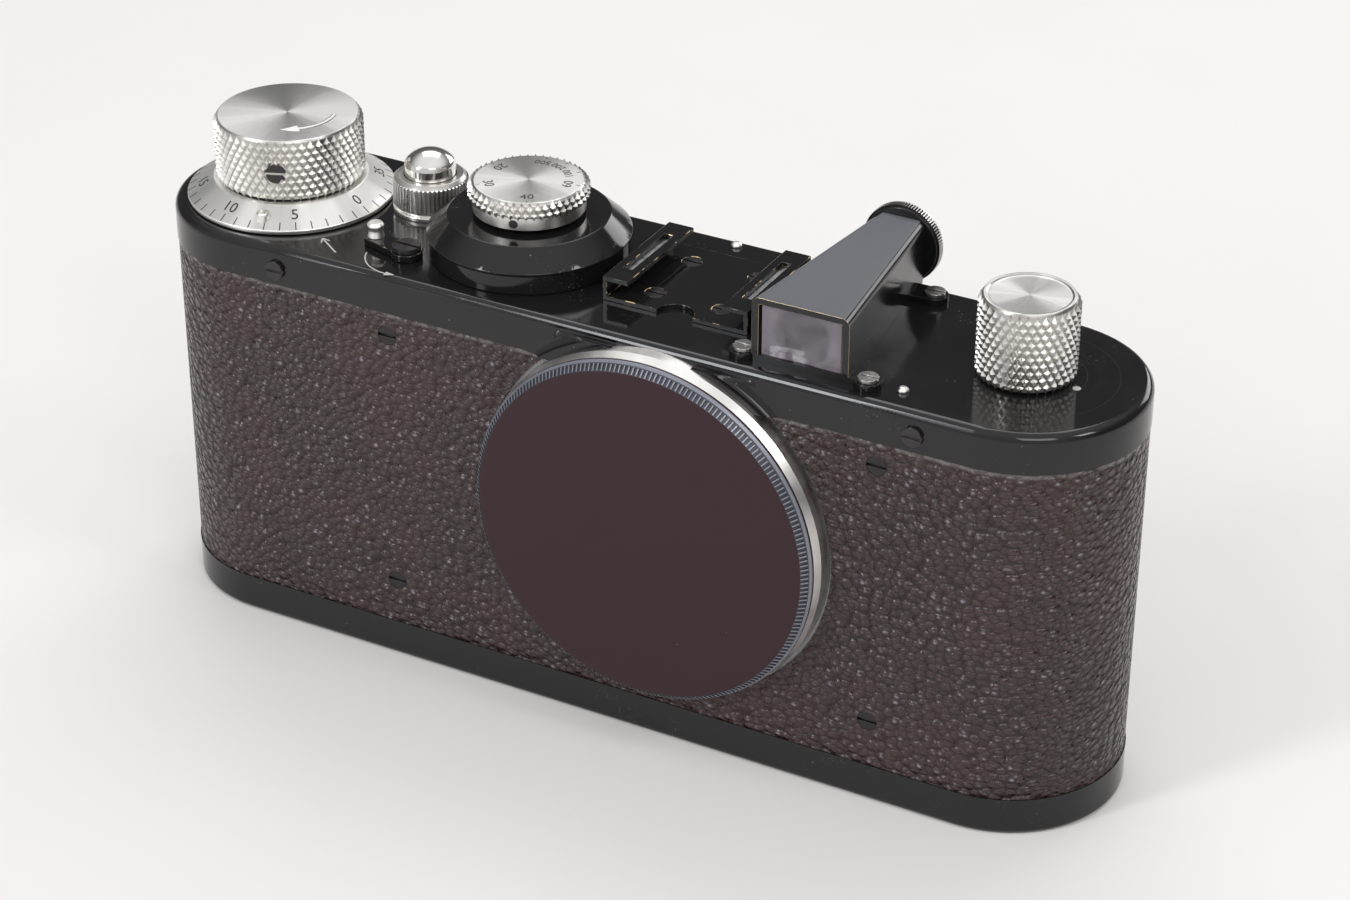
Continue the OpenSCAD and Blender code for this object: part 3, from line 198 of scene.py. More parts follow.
# Finishes
def makeLacquer(name, worn=None, rough=(0.06, 0.16), arcs=None, tone=(0.009, 0.0085, 0.009)):
    # worn: noise levels where brass shows; arcs: middle of the rings rubbed in beside the rewind knob
    size = {"smear": 9 * mm, "speck": 1.7 * mm, "dusty": 4 * mm, "scuff": 0.35 * mm, "scuffed": 6 * mm,
            "chip": 1.3 * mm, "grain": 0.5 * mm, "grainDepth": 0.002 * mm, "ring": 0.32 * mm,
            "ringsFrom": (6 * mm, 8 * mm), "ringsTo": (14 * mm, 11 * mm), "ringSide": (0, 5 * mm)}
    dustGrey, bareBrass = tint(0.42, 0.41, 0.40), tint(0.70, 0.52, 0.30)
    graph = newFinish(name, tone)
    smear = graph.noise(size["smear"], 5)
    specks = 1 - graph.cells(size["speck"]).between(0.02, 0.07)
    dust = specks * graph.noise(size["dusty"]).between(0.5, 0.66)
    scuff = graph.noise(size["scuff"], 2).between(0.62, 0.72)
    scuff = scuff * graph.noise(size["scuffed"]).between(0.55, 0.72)
    if arcs:
        split, far = graph.around(arcs)
        line = graph.node("ShaderNodeCombineXYZ", None, {"X": far})
        wearAndSheen = graph.noise(size["ring"], 2, line).between(0.58, 0.72) * far.between(*size["ringsFrom"])
        scuff = scuff + wearAndSheen * far.between(*size["ringsTo"]) * split.between(*size["ringSide"])
    colour = graph.mix(dust * 0.5 + scuff * 0.16, tint(*tone), dustGrey)
    value = smear.between(0.35, 0.7, *rough) + dust * 0.3 + scuff * 0.16
    values = {"Base Color": colour, "Roughness": value, "IOR": 1.45}
    if worn:
        chips = graph.noise(size["chip"], 5).between(*worn)
        values["Base Color"] = graph.mix(chips, colour, bareBrass)
        values["Metallic"] = chips
        values["Roughness"] = value + chips * 0.2
    values["Normal"] = graph.bump(graph.noise(size["grain"], 3), size["grainDepth"], 0.25)
    return closeFinish(graph, values)


def makeCovering():
    size = {"pebble": 1.2 * mm, "wander": 0.6 * mm, "stray": 2.6 * mm, "squat": 1.3, "fine": 0.28 * mm,
            "wave": 3.4 * mm, "patch": 16 * mm, "wearAndSheen": 1.1 * mm, "fray": 1.6 * mm,
            "edge": (0.75 * mm, 0.35 * mm), "depth": 0.5 * mm}
    tones = {"creaseShadeAndGloss": tint(0.010, 0.0048, 0.0052), "pebble": tint(0.040, 0.0155, 0.016),
             "patch": tint(0.048, 0.018, 0.0178), "wearAndSheen": tint(0.26, 0.25, 0.285),
             "edge": tint(0.13, 0.115, 0.11)}
    graph = newFinish("pebbledCovering", (0.04, 0.024, 0.025))
    stray = graph.node("ShaderNodeTexNoise", None,
                       {"Scale": 1 / size["stray"], "Detail": 2.0, "Vector": graph.coords}, "Color")
    flat = graph.node("ShaderNodeVectorMath", {"operation": "MULTIPLY"},
                      {0: graph.coords, 1: (1.0, 1.0, size["squat"])})
    shift = graph.node("ShaderNodeVectorMath", {"operation": "MULTIPLY_ADD"},
                       {0: stray, 1: (size["wander"],) * 3, 2: flat})
    far = graph.cells(size["pebble"], shift)
    dome = 1 - far * far * 1.6
    creaseShadeAndGloss = graph.cells(size["pebble"], shift, "DISTANCE_TO_EDGE").between(0.0, 0.22)
    fine = graph.noise(size["fine"], 4)
    patch = graph.noise(size["patch"], 3).between(0.4, 0.7)
    height = dome + fine * 0.16 + graph.noise(size["wave"], 2) * 0.9
    # painted shade darkens the creases between the pebbles; fine grain varies the tone
    colour = graph.mix(creaseShadeAndGloss * 0.4 + fine * 0.6, tones["creaseShadeAndGloss"], tones["pebble"])
    colour = graph.mix(patch * 0.4, colour, tones["patch"])
    wearAndSheen = far.between(0.36, 0.1) * graph.noise(size["wearAndSheen"], 3).between(0.5, 0.66)
    colour = graph.mix(wearAndSheen * 0.7, colour, tones["wearAndSheen"])  # painted highlight on the pebble tops, bluish grey
    split = graph.node("ShaderNodeSeparateXYZ", None, {"Vector": graph.coords})
    # lighter along the top edge, broken up by noise
    topStrip = split.other("Z").between(*[coverTop - down for down in size["edge"]])
    brokenTopStrip = topStrip * graph.noise(size["fray"], 4).between(0.35, 0.6)
    colour = graph.mix(brokenTopStrip, colour, tones["edge"])
    rough = creaseShadeAndGloss.between(0.1, 1.0, 0.5, 0.17) + patch * 0.06
    return closeFinish(graph, {"Base Color": colour, "Roughness": rough, "IOR": 1.55,
                               "Normal": graph.bump(height, size["depth"], 1.0)})


def makeNickel(name, colour=(0.93, 0.91, 0.87), rough=(0.26, 0.4), hollow=None):
    # hollow: middle, inner and outer radius of a knurl, whose bottoms hold dirt
    size = {"cloud": 5 * mm, "pit": 0.9 * mm, "stain": 3 * mm, "foot": (-0.2 * mm, 0.1 * mm)}
    dirtTone, stainTone = tint(0.30, 0.28, 0.26), tint(0.2, 0.16, 0.12)
    graph = newFinish(name, colour)
    cloud = graph.noise(size["cloud"], 5)
    pits = 1 - graph.cells(size["pit"]).between(0.03, 0.12)
    stain = pits * graph.noise(size["stain"]).between(0.52, 0.68)
    shade = graph.mix(cloud.between(0.3, 0.7), tint(*[0.86 * c for c in colour]), tint(*colour))
    if hollow:
        middle, inner, outer = hollow
        split, far = graph.around(middle)
        dirt = far.between(inner, inner + 0.5 * (outer - inner), 1.0, 0.0)
        dirt = dirt * split.other("Z").between(*size["foot"])
        shade = graph.mix(dirt * 0.6, shade, dirtTone)
    return closeFinish(graph, {"Base Color": graph.mix(stain * 0.5, shade, stainTone), "Metallic": 1.0,
                               "Roughness": cloud.between(0.3, 0.7, *rough) + stain * 0.2})


def makeSpunNickel(name, centre, base=(0.96, 0.95, 0.92), dark=0.62):
    # turning marks about a vertical axis, with broad light and dark sectors and radial streaks painted in as a
    # reflection of the turned top
    size = {"groove": 0.17 * mm, "grooveDepth": 0.004 * mm, "sheenSector": 0.55, "sheenStreak": 0.045, "least": 1e-6}
    graph = newFinish(name, base)
    x, radius = graph.around(centre)
    away = radius.maths("MAXIMUM", radius, size["least"])
    heading = graph.node("ShaderNodeCombineXYZ", None, {"X": x / away, "Y": x.other("Y") / away})
    # painted reflection: light and dark sectors and streaks by heading round the axis
    sheenSector = graph.noise(size["sheenSector"], 1, heading).between(0.42, 0.58)
    sheenStreak = graph.noise(size["sheenStreak"], 2, heading)
    turn = radius * (math.tau / size["groove"])
    shade = sheenSector * 0.72 + sheenStreak * 0.28
    colour = graph.mix(shade, tint(*[dark * c for c in base]), tint(*base))
    return closeFinish(graph, {"Base Color": colour, "Metallic": 1.0, "Anisotropic": 0.7,
                               "Roughness": shade.between(0, 1, 0.42, 0.32),
                               "Normal": graph.bump(turn.maths("SINE", turn), size["grooveDepth"], 0.5)})


def makeCapBlack():
    size = {"cloud": 11 * mm, "speck": 2.6 * mm, "dusty": 7 * mm, "grain": 0.16 * mm, "depth": 0.006 * mm}
    graph = newFinish("capBlack", (0.04, 0.017, 0.020))
    cloud = graph.noise(size["cloud"], 4)
    specks = 1 - graph.cells(size["speck"]).between(0.015, 0.04)
    specks = specks * graph.noise(size["dusty"]).between(0.52, 0.65)
    colour = graph.mix(cloud, tint(0.031, 0.0145, 0.0168), tint(0.038, 0.018, 0.0205))
    return closeFinish(graph, {"Base Color": graph.mix(specks * 0.5, colour, tint(0.4, 0.38, 0.36)),
                               "Roughness": cloud.between(0.3, 0.7, 0.38, 0.48), "Specular IOR Level": 0.2,
                               "Normal": graph.bump(graph.noise(size["grain"], 3), size["depth"], 0.5)})


def makeGlass():
    # clear glass under a thin haze, which is thicker outside the round of the lens; the haze's purple tint is a
    # painted reflection
    size = {"smear": 3 * mm, "radius": 3.8 * mm, "soft": 0.35 * mm, "hazeAndReflection": 0.16}
    graph = newFinish("finderGlass", (0.75, 0.72, 0.78))
    smear = graph.noise(size["smear"], 3)
    far = graph.around(middleOf("finder_front_lens"), "Z")[1]
    rim = far.between(size["radius"] - size["soft"], size["radius"]) * size["hazeAndReflection"]
    clear = graph.node("ShaderNodeBsdfPrincipled", None,
                       {"Base Color": tint(0.93, 0.90, 0.95), "Transmission Weight": 1.0, "IOR": 1.5,
                        "Roughness": smear.between(0.4, 0.7, 0.0, 0.06)})
    # painted reflection: the purple tint of the haze
    hazeAndReflection = graph.node("ShaderNodeBsdfPrincipled", None,
                      {"Base Color": tint(0.42, 0.36, 0.42), "Roughness": 0.5})
    share = smear.between(0.25, 0.75, 0.06, 0.26) + rim
    both = graph.node("ShaderNodeMixShader", None, {0: share, 1: clear, 2: hazeAndReflection})
    graph.node("ShaderNodeOutputMaterial", None, {"Surface": both})
    return graph.material


def makePlain(name, colour, rough, metal=0.0, grain=1.5 * mm, depth=0.004 * mm):
    graph = newFinish(name, colour)
    cloud = graph.noise(grain, 4)
    shade = graph.mix(cloud, tint(*[0.8 * c for c in colour]), tint(*colour))
    return closeFinish(graph, {"Base Color": shade, "Metallic": metal,
                               "Roughness": cloud.between(0.3, 0.7, rough * 0.85, rough * 1.15),
                               "Normal": graph.bump(graph.noise(grain / 4, 3), depth, 0.5)})


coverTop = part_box("body_covering")[1].z
windMid = middleOf("wind_knob")
rewindMid = middleOf("rewind_knob")
finishes = {
    "black_lacquer": makeLacquer("blackLacquer", arcs=rewindMid),
    "covering": makeCovering(),
    "shell_metal": makePlain("shellAluminium", (0.30, 0.30, 0.31), 0.4, 1.0),
    "crate_metal": makePlain("blackAnodised", (0.03, 0.03, 0.033), 0.45, 0.3),
    "cap_black": makeCapBlack(),
    "nickel": makeNickel("nickel"),
    "steel": makePlain("turnedSteel", (0.55, 0.55, 0.56), 0.3, 1.0),
    "screw_steel": makePlain("screwSteel", (0.42, 0.40, 0.37), 0.28, 1.0),
    "black_screw": makePlain("blackenedSteel", (0.045, 0.042, 0.042), 0.3, 0.6),
    "brass": makePlain("machinedBrass", (0.72, 0.53, 0.25), 0.28, 1.0),
    "curtain_cloth": makePlain("curtainCloth", (0.02, 0.02, 0.021), 0.8, 0.0, 0.4 * mm, 0.05 * mm),
    "finder_glass": makeGlass(),
}
wornLacquer = makeLacquer("wornLacquer", (0.52, 0.62))
rubbedLacquer = makeLacquer("rubbedLacquer", (0.2, 0.36))
wallLacquer = makeLacquer("wallLacquer", None, (0.1, 0.2))
# satin lacquer whose bluish grey colour is a painted reflection on the finder roof
roofSheenLacquer = makeLacquer("roofSheenLacquer", None, (0.36, 0.46), tone=(0.115, 0.12, 0.132))
whitePaint = makePlain("whitePaint", (0.90, 0.89, 0.86), 0.55)
greyPaint = makePlain("greyPaint", (0.52, 0.51, 0.48), 0.55)
blackPaint = makePlain("blackPaint", (0.018, 0.017, 0.016), 0.5)
print("finishes made,", len(bpy.data.materials))


# Turning meshes into pieces
sharpAngle = math.radians(32)
weld = 1e-7


def settle(piece, body, slot, *nodes):
    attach(piece, body)
    if nodes:
        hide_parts(*nodes)
    return piece


def asObject(name, mesh, *materials):
    piece = bpy.data.objects.new(name, mesh)
    scene.collection.objects.link(piece)
    if materials:
        mesh.materials.clear()
    for material in materials:
        mesh.materials.append(material)
    return piece


def smoothed(mesh):
    mesh.shade_smooth()
    mesh.set_sharp_from_angle(angle=sharpAngle)
    return mesh


def fromBmesh(name, bm):
    mesh = bpy.data.meshes.new(name)
    bmesh.ops.recalc_face_normals(bm, faces=bm.faces)
    bm.to_mesh(mesh)
    bm.free()
    return smoothed(mesh)


def plainMesh(holder):
    # the evaluated mesh of a holder, which is then taken away
    bpy.context.view_layer.update()
    made = bpy.data.meshes.new_from_object(holder.evaluated_get(bpy.context.evaluated_depsgraph_get()))
    bpy.data.objects.remove(holder)
    return made


def joined(name, meshes):
    bm = bmesh.new()
    for mesh in meshes:
        bm.from_mesh(mesh)
    bmesh.ops.remove_doubles(bm, verts=bm.verts, dist=weld)
    return fromBmesh(name, bm)


def rounded(corners, steps=5):
    # corners (r, z, fillet) of a turned profile, each fillet drawn as a short curve
    line = []
    for i, (r, z, fillet) in enumerate(corners):
        here = Vector((r, z))
        if not fillet or i in (0, len(corners) - 1):
            line.append(here)
            continue
        before = Vector(corners[i - 1][:2]) - here
        after = Vector(corners[i + 1][:2]) - here
        a = here + before.normalized() * min(fillet, before.length * 0.49)
        b = here + after.normalized() * min(fillet, after.length * 0.49)
        for k in range(steps + 1):
            t = k / steps
            line.append(a * (1 - t) ** 2 + here * 2 * t * (1 - t) + b * t * t)
    return line


def turned(name, corners, sides=128, closed=False):
    # a profile turned about Z; a closed one is a ring
    bm = bmesh.new()
    rings = []
    for point in rounded(corners):
        if point.x < weld:
            rings.append([bm.verts.new((0, 0, point.y))])
            continue
        angles = [math.tau * k / sides for k in range(sides)]
        rings.append([bm.verts.new((point.x * math.cos(a), point.x * math.sin(a), point.y)) for a in angles])
    pairs = list(zip(rings, rings[1:]))
    if closed:
        pairs.append((rings[-1], rings[0]))
    for low, high in pairs:
        for k in range(sides):
            n = (k + 1) % sides
            corner = [low[k % len(low)], low[n % len(low)], high[n % len(high)], high[k % len(high)]]
            bm.faces.new(list(dict.fromkeys(corner)))
    return fromBmesh(name, bm)


def solidOf(name, low, high):
    # a closed solid between two loops of as many points
    bm = bmesh.new()
    first = [bm.verts.new(p) for p in low]
    last = [bm.verts.new(p) for p in high]
    bm.faces.new(first)
    bm.faces.new(last)
    for k in range(len(first)):
        n = (k + 1) % len(first)
        bm.faces.new((first[k], first[n], last[n], last[k]))
    mesh = fromBmesh(name, bm)
    mesh.shade_flat()
    return mesh


def dressNode(node, bevel=0.08 * mm, edge=None, keepEdge=None, finish=None, shift=None):
    # a merged copy of a solid, with softened edges that may have a finish of their own
    nearlyFlat = math.radians(0.4)
    slot = slotOf[node]
    bm = bmesh.new()
    bm.from_mesh(frame["nodes"][node].data)
    bmesh.ops.remove_doubles(bm, verts=bm.verts, dist=weld)
    bmesh.ops.dissolve_limit(bm, angle_limit=nearlyFlat, verts=bm.verts, edges=bm.edges)
    mesh = bpy.data.meshes.new(node)
    bm.to_mesh(mesh)
    bm.free()
    main = finish or finishes[slot]
    holder = asObject(node + ".dressed", smoothed(mesh), main, *([edge] if edge else []))
    if bevel:
        soft = holder.modifiers.new("soft edges", "BEVEL")
        soft.width = bevel
        soft.segments = 2
        soft.limit_method = "ANGLE"
        soft.angle_limit = sharpAngle
        soft.material = 1 if edge else -1
    even = holder.modifiers.new("even shading", "WEIGHTED_NORMAL")
    even.keep_sharp = True
    made = plainMesh(holder)
    if shift:
        made.transform(Matrix.Translation(shift))
    if edge and keepEdge:
        for face in made.polygons:
            if face.material_index and not keepEdge(face.center):
                face.material_index = 0
    return settle(asObject(node + ".dressed", made), bodyOf[node], slot, node)


# Copies of a small part round an axis, in rows, with a gap left where a screw sits
noGap = (0.0, 0.0, -1.0)


def buildCopies():
    stagger = 0.5  # every other row stands half a step on
    tree = bpy.data.node_groups.new("copiesRoundAxis", "GeometryNodeTree")
    kinds = {"Core": "Geometry", "Part": "Object", "Count": "Int", "Rows": "Int", "RowStep": "Float",
             "Start": "Float", "Radius": "Float", "GapAngle": "Float", "GapHeight": "Float",
             "GapSize": "Float", "Finish": "Material"}
    sockets = {}
    for name, kind in kinds.items():
        made = tree.interface.new_socket(name, in_out="INPUT", socket_type="NodeSocket" + kind)
        sockets[name] = made.identifier
    tree.interface.new_socket("Result", in_out="OUTPUT", socket_type="NodeSocketGeometry")
    graph = Graph(tree)
    given = graph.node("NodeGroupInput")
    count, radius = given.other("Count"), given.other("Radius")
    index = graph.node("GeometryNodeInputIndex")
    row = index.maths("FLOOR", index / count)
    shift = row.maths("MODULO", row, 2.0) * stagger
    angle = given.other("Start") + (index - row * count + shift) * math.tau / count
    height = row * given.other("RowStep")
    place = graph.node("ShaderNodeCombineXYZ", None, {"Z": height})
    points = graph.node("GeometryNodePoints", None,
                        {"Count": count * given.other("Rows"), "Position": place})
    half = (angle - given.other("GapAngle")) * 0.5
    chord = half.maths("SINE", half) * radius * 2.0
    rise = height - given.other("GapHeight")
    away = (chord * chord + rise * rise) ** 0.5
    keep = away.maths("GREATER_THAN", away, given.other("GapSize"))
    shape = graph.node("GeometryNodeObjectInfo", None, {"Object": given.other("Part")}, "Geometry")
    turn = graph.node("FunctionNodeEulerToRotation", None,
                      {"Euler": graph.node("ShaderNodeCombineXYZ", None, {"Z": angle})})
    copies = graph.node("GeometryNodeInstanceOnPoints", None,
                        {"Points": points, "Selection": keep, "Instance": shape, "Rotation": turn})
    whole = graph.node("GeometryNodeJoinGeometry", None, {"Geometry": copies})
    tree.links.new(given.other("Core").socket, whole.socket.node.inputs[0])
    solid = graph.node("GeometryNodeRealizeInstances", None, {"Geometry": whole})
    finished = graph.node("GeometryNodeSetMaterial", None,
                          {"Geometry": solid, "Material": given.other("Finish")})
    graph.node("NodeGroupOutput", None, {"Result": finished})
    return tree, sockets


copiesTree, copiesSockets = buildCopies()


def copiesRound(name, core, part, finish, count, rows=1, rowStep=0.0, start=0.0, radius=1.0, gap=noGap):
    holder = asObject(name, core or bpy.data.meshes.new(name))
    one = asObject(name + ".one", part)
    modifier = holder.modifiers.new("copies", "NODES")
    modifier.node_group = copiesTree
    given = {"Part": one, "Count": count, "Rows": rows, "RowStep": rowStep, "Start": start, "Radius": radius,
             "GapAngle": gap[0], "GapHeight": gap[1], "GapSize": gap[2], "Finish": finish}
    for key, value in given.items():
        modifier[copiesSockets[key]] = value
    made = plainMesh(holder)
    bpy.data.objects.remove(one)
    made.materials.clear()
    made.materials.append(finish)
    return made


def diamond(inner, outer, halfWide, halfHigh, z, flat=0.24):
    # a small pyramid that points outward, with its tip cut flat
    sink = 0.08 * mm
    ends = ((-1, 0), (0, -1), (1, 0), (0, 1))
    low = [(inner - sink, halfWide * a, z + halfHigh * b) for a, b in ends]
    high = [(outer, halfWide * flat * a, z + halfHigh * flat * b) for a, b in ends]
    return solidOf("point", low, high)


def upright(name, sink, lowR, highR, half, tip, lowZ, highZ, lowIn, highIn):
    # an upright rib, narrowed to a share of its width at the tip, its ends sloped in
    narrow = half * tip
    low = [(sink, -half, lowZ), (lowR, -narrow, lowZ + lowIn), (lowR, narrow, lowZ + lowIn),
           (sink, half, lowZ)]
    high = [(sink, -half, highZ), (highR, -narrow, highZ - highIn), (highR, narrow, highZ - highIn),
            (sink, half, highZ)]
    return solidOf(name, low, high)


def markTop(mesh, finish, lowest):
    # gives the level faces above a height their own finish
    nearlyLevel = 0.9
    mesh.materials.append(finish)
    for face in mesh.polygons:
        if face.normal.z > nearlyLevel and face.center.z > lowest:
            face.material_index = 1


def knurledKnob(node, size, screw=None):
    # a turned core with rows of small pyramids, drawn about the knob's own axis
    low, high, middle, outer, tall = roundOf(node)
    footIn, footUp, ease, topDeep = 0.1 * mm, 0.2 * mm, 0.05 * mm, 1.2 * mm
    inner = outer - size["depth"]
    base = Vector((middle.x, middle.y, low.z))
    step = (tall - size["bevel"]) / (size["rows"] + 0.5)
    firstRow = 0.75 * step
    corners = [(0, 0, 0), (inner - footIn, 0, ease), (inner, footUp, ease),
               (inner, tall - size["bevel"], ease), (outer - size["topIn"], tall, size["topRound"])]
    if size["dish"]:
        floor = tall - size["dish"]
        corners += [(size["dishR"], tall, 0.1 * mm), (size["dishR"] - size["dish"], floor, 0.2 * mm),
                    (0, floor, 0)]
    else:
        corners += [(0, tall, 0)]
    core = turned(node, corners)
    part = diamond(inner, outer, math.pi * inner / size["count"], step, firstRow)
    finish = makeNickel(node + "Grip", hollow=(base, inner, outer))
    gap = noGap
    if screw:
        offset = middleOf(screw) - base
        gap = (math.atan2(offset.y, offset.x), offset.z - firstRow, size["gap"])
    made = copiesRound(node, core, part, finish, size["count"], size["rows"], step, radius=inner, gap=gap)
    made.transform(Matrix.Translation(base))
    markTop(made, makeSpunNickel(node + "Top", middle), high.z - topDeep)
    return settle(asObject(node + ".turned", made), bodyOf[node], slotOf[node], node)


windSizes = {"depth": 0.42 * mm, "bevel": 0.34 * mm, "topIn": 0.6 * mm, "topRound": 0.08 * mm, "rows": 8,
             "count": 52, "dish": 0.0, "gap": 1.25 * mm}
rewindSizes = {"depth": 0.42 * mm, "bevel": 0.4 * mm, "topIn": 0.6 * mm, "topRound": 0.12 * mm, "rows": 10,
               "count": 34, "dish": 0.2 * mm, "dishR": 5.1 * mm}
knurledKnob("wind_knob", windSizes, "wind_knob_screw")
knurledKnob("rewind_knob", rewindSizes)
print("knobs turned")


# Figures, drawn a hair proud of what they are painted on
def figure(body, height, thick=0.02 * mm):
    digitShare = 0.7  # how much of the font's size a digit is tall
    curve = bpy.data.curves.new("figure", "FONT")
    curve.body = body
    curve.size = height / digitShare
    curve.extrude = thick
    curve.align_x = "CENTER"
    curve.align_y = "CENTER"
    curve.resolution_u = 3
    holder = bpy.data.objects.new("figure", curve)
    scene.collection.objects.link(holder)
    return plainMesh(holder)


def onCone(mesh, middle, angle, radius, z, slope):
    # lays a flat drawing on a cone, its top towards the axis
    out = Vector((math.cos(angle), math.sin(angle), 0))
    rise = -out * math.cos(slope) + Vector((0, 0, math.sin(slope)))
    normal = out * math.sin(slope) + Vector((0, 0, math.cos(slope)))
    place = middle + out * radius
    place.z = z
    axes = Matrix((rise.cross(normal), rise, normal)).transposed().to_4x4()
    mesh.transform(Matrix.Translation(place) @ axes)
    return mesh


def ribbon(name, points, widths, z, thick=0.03 * mm):
    # a flat stroke of changing width, laid level at z
    left, right = [], []
    for i, point in enumerate(points):
        along = (points[min(i + 1, len(points) - 1)] - points[max(i - 1, 0)]).normalized()
        side = Vector((-along.y, along.x)) * widths[i] / 2
        left.append(point + side)
        right.append(point - side)
    loop = left + right[::-1]
    return solidOf(name, [(*p, z - thick) for p in loop], [(*p, z + thick) for p in loop])


def arcPoints(middle, radius, start, end, count, drift=0.0):
    points = []
    for k in range(count + 1):
        a = math.radians(start + (end - start) * k / count)
        out = Vector((math.cos(a), math.sin(a)))
        points.append(Vector((middle.x, middle.y)) + (radius + drift * k / count) * out)
    return points


def drawWindArrow():
    size = {"radius": 6.1 * mm, "drift": -0.6 * mm, "start": 20, "neck": -42, "tip": -66, "line": 0.42 * mm,
            "head": 1.9 * mm, "steps": 20, "rim": 0.3 * mm, "lift": 0.02 * mm}
    top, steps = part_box("wind_knob")[1].z, size["steps"]
    stroke = arcPoints(windMid, size["radius"], size["start"], size["neck"], steps, size["drift"])
    head = arcPoints(windMid, size["radius"] + size["drift"], size["neck"], size["tip"], 4)
    wide = [size["line"] * (0.7 + 0.5 * k / steps) for k in range(steps + 1)]
    taper = [size["head"] * w for w in (1.0, 0.8, 0.55, 0.3, 0.05)]
    for name, more, lift, paint in (("windArrow", 0.0, size["lift"], whitePaint),
                                    ("windArrowEdge", size["rim"], 0.0, finishes["screw_steel"])):
        shaft = ribbon("shaft", stroke, [w + more for w in wide], top + lift)
        point = ribbon("head", head, [w + more for w in taper], top + lift)
        settle(asObject(name, joined(name, [shaft, point]), paint), "wind", "nickel")


drawWindArrow()


# Frame counter
def makeCounter():
    size = {"edge": 0.5 * mm, "top": 10.0 * mm, "bore": 5.56 * mm, "soft": 0.15 * mm, "tickL": 1.15 * mm,
            "tickW": 0.13 * mm, "tickIn": 0.12 * mm, "lift": 0.02 * mm, "ticks": 40, "figure": 1.5 * mm,
            "figureR": 11.35 * mm, "every": 5, "five": -54, "step": -9}
    low, high, middle, outer, tall = roundOf("counter_dial")
    ring = turned("counter_dial", [(size["bore"], 0, 0), (outer, 0, 0.08 * mm),
                                   (outer, size["edge"], size["soft"]), (size["top"], tall, size["soft"]),
                                   (size["bore"], tall, 0)], closed=True)
    ring.transform(Matrix.Translation((middle.x, middle.y, low.z)))
    finish = makeSpunNickel("counterNickel", middle, dark=0.7)
    settle(asObject("counter_dial.turned", ring, finish), "counter", slotOf["counter_dial"], "counter_dial")
    slope = math.atan2(tall - size["edge"], outer - size["top"])
    centre = Vector((middle.x, middle.y, 0))

    def heightAt(radius):
        return low.z + size["edge"] + (outer - radius) * math.tan(slope)

    outR = outer - size["tickIn"]
    inR = outR - size["tickL"] * math.cos(slope)
    half, lift = size["tickW"] / 2, size["lift"]
    loop = [(inR, -half), (outR, -half), (outR, half), (inR, half)]
    part = solidOf("tick", [(r, w, heightAt(r) - lift) for r, w in loop],
                   [(r, w, heightAt(r) + lift) for r, w in loop])
    ticks = copiesRound("ticks", None, part, blackPaint, size["ticks"], start=math.radians(size["five"]))
    ticks.transform(Matrix.Translation(centre))
    marks = [ticks]
    for number in range(0, size["ticks"], size["every"]):
        angle = math.radians(size["five"] + (number - size["every"]) * size["step"])
        marks.append(onCone(figure(str(number), size["figure"]), centre, angle, size["figureR"],
                            heightAt(size["figureR"]), slope))
    settle(asObject("counterMarks", joined("counterMarks", marks), blackPaint), "counter", "nickel")


makeCounter()


# Two domed studs for setting the counter by hand
def makeCounterStuds():
    size = {"radius": 0.85 * mm, "reach": 11.7 * mm, "at": (286, 106), "dome": 0.3 * mm, "soft": 0.25 * mm,
            "sides": 32}
    low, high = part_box("counter_studs")
    tall = high.z - low.z
    corners = [(0, 0, 0), (size["radius"], 0, 0), (size["radius"], tall - size["dome"], size["soft"]),
               (0, tall, 0)]
    studs = []
    for degrees in size["at"]:
        stud = turned("stud", corners, size["sides"])
        out = Vector((math.cos(math.radians(degrees)), math.sin(math.radians(degrees)), 0))
        place = windMid + out * size["reach"]
        stud.transform(Matrix.Translation((place.x, place.y, low.z)))
        studs.append(stud)
    settle(asObject("counter_studs.turned", joined("counter_studs", studs), finishes["nickel"]), "counter",
           slotOf["counter_studs"], "counter_studs")


makeCounterStuds()


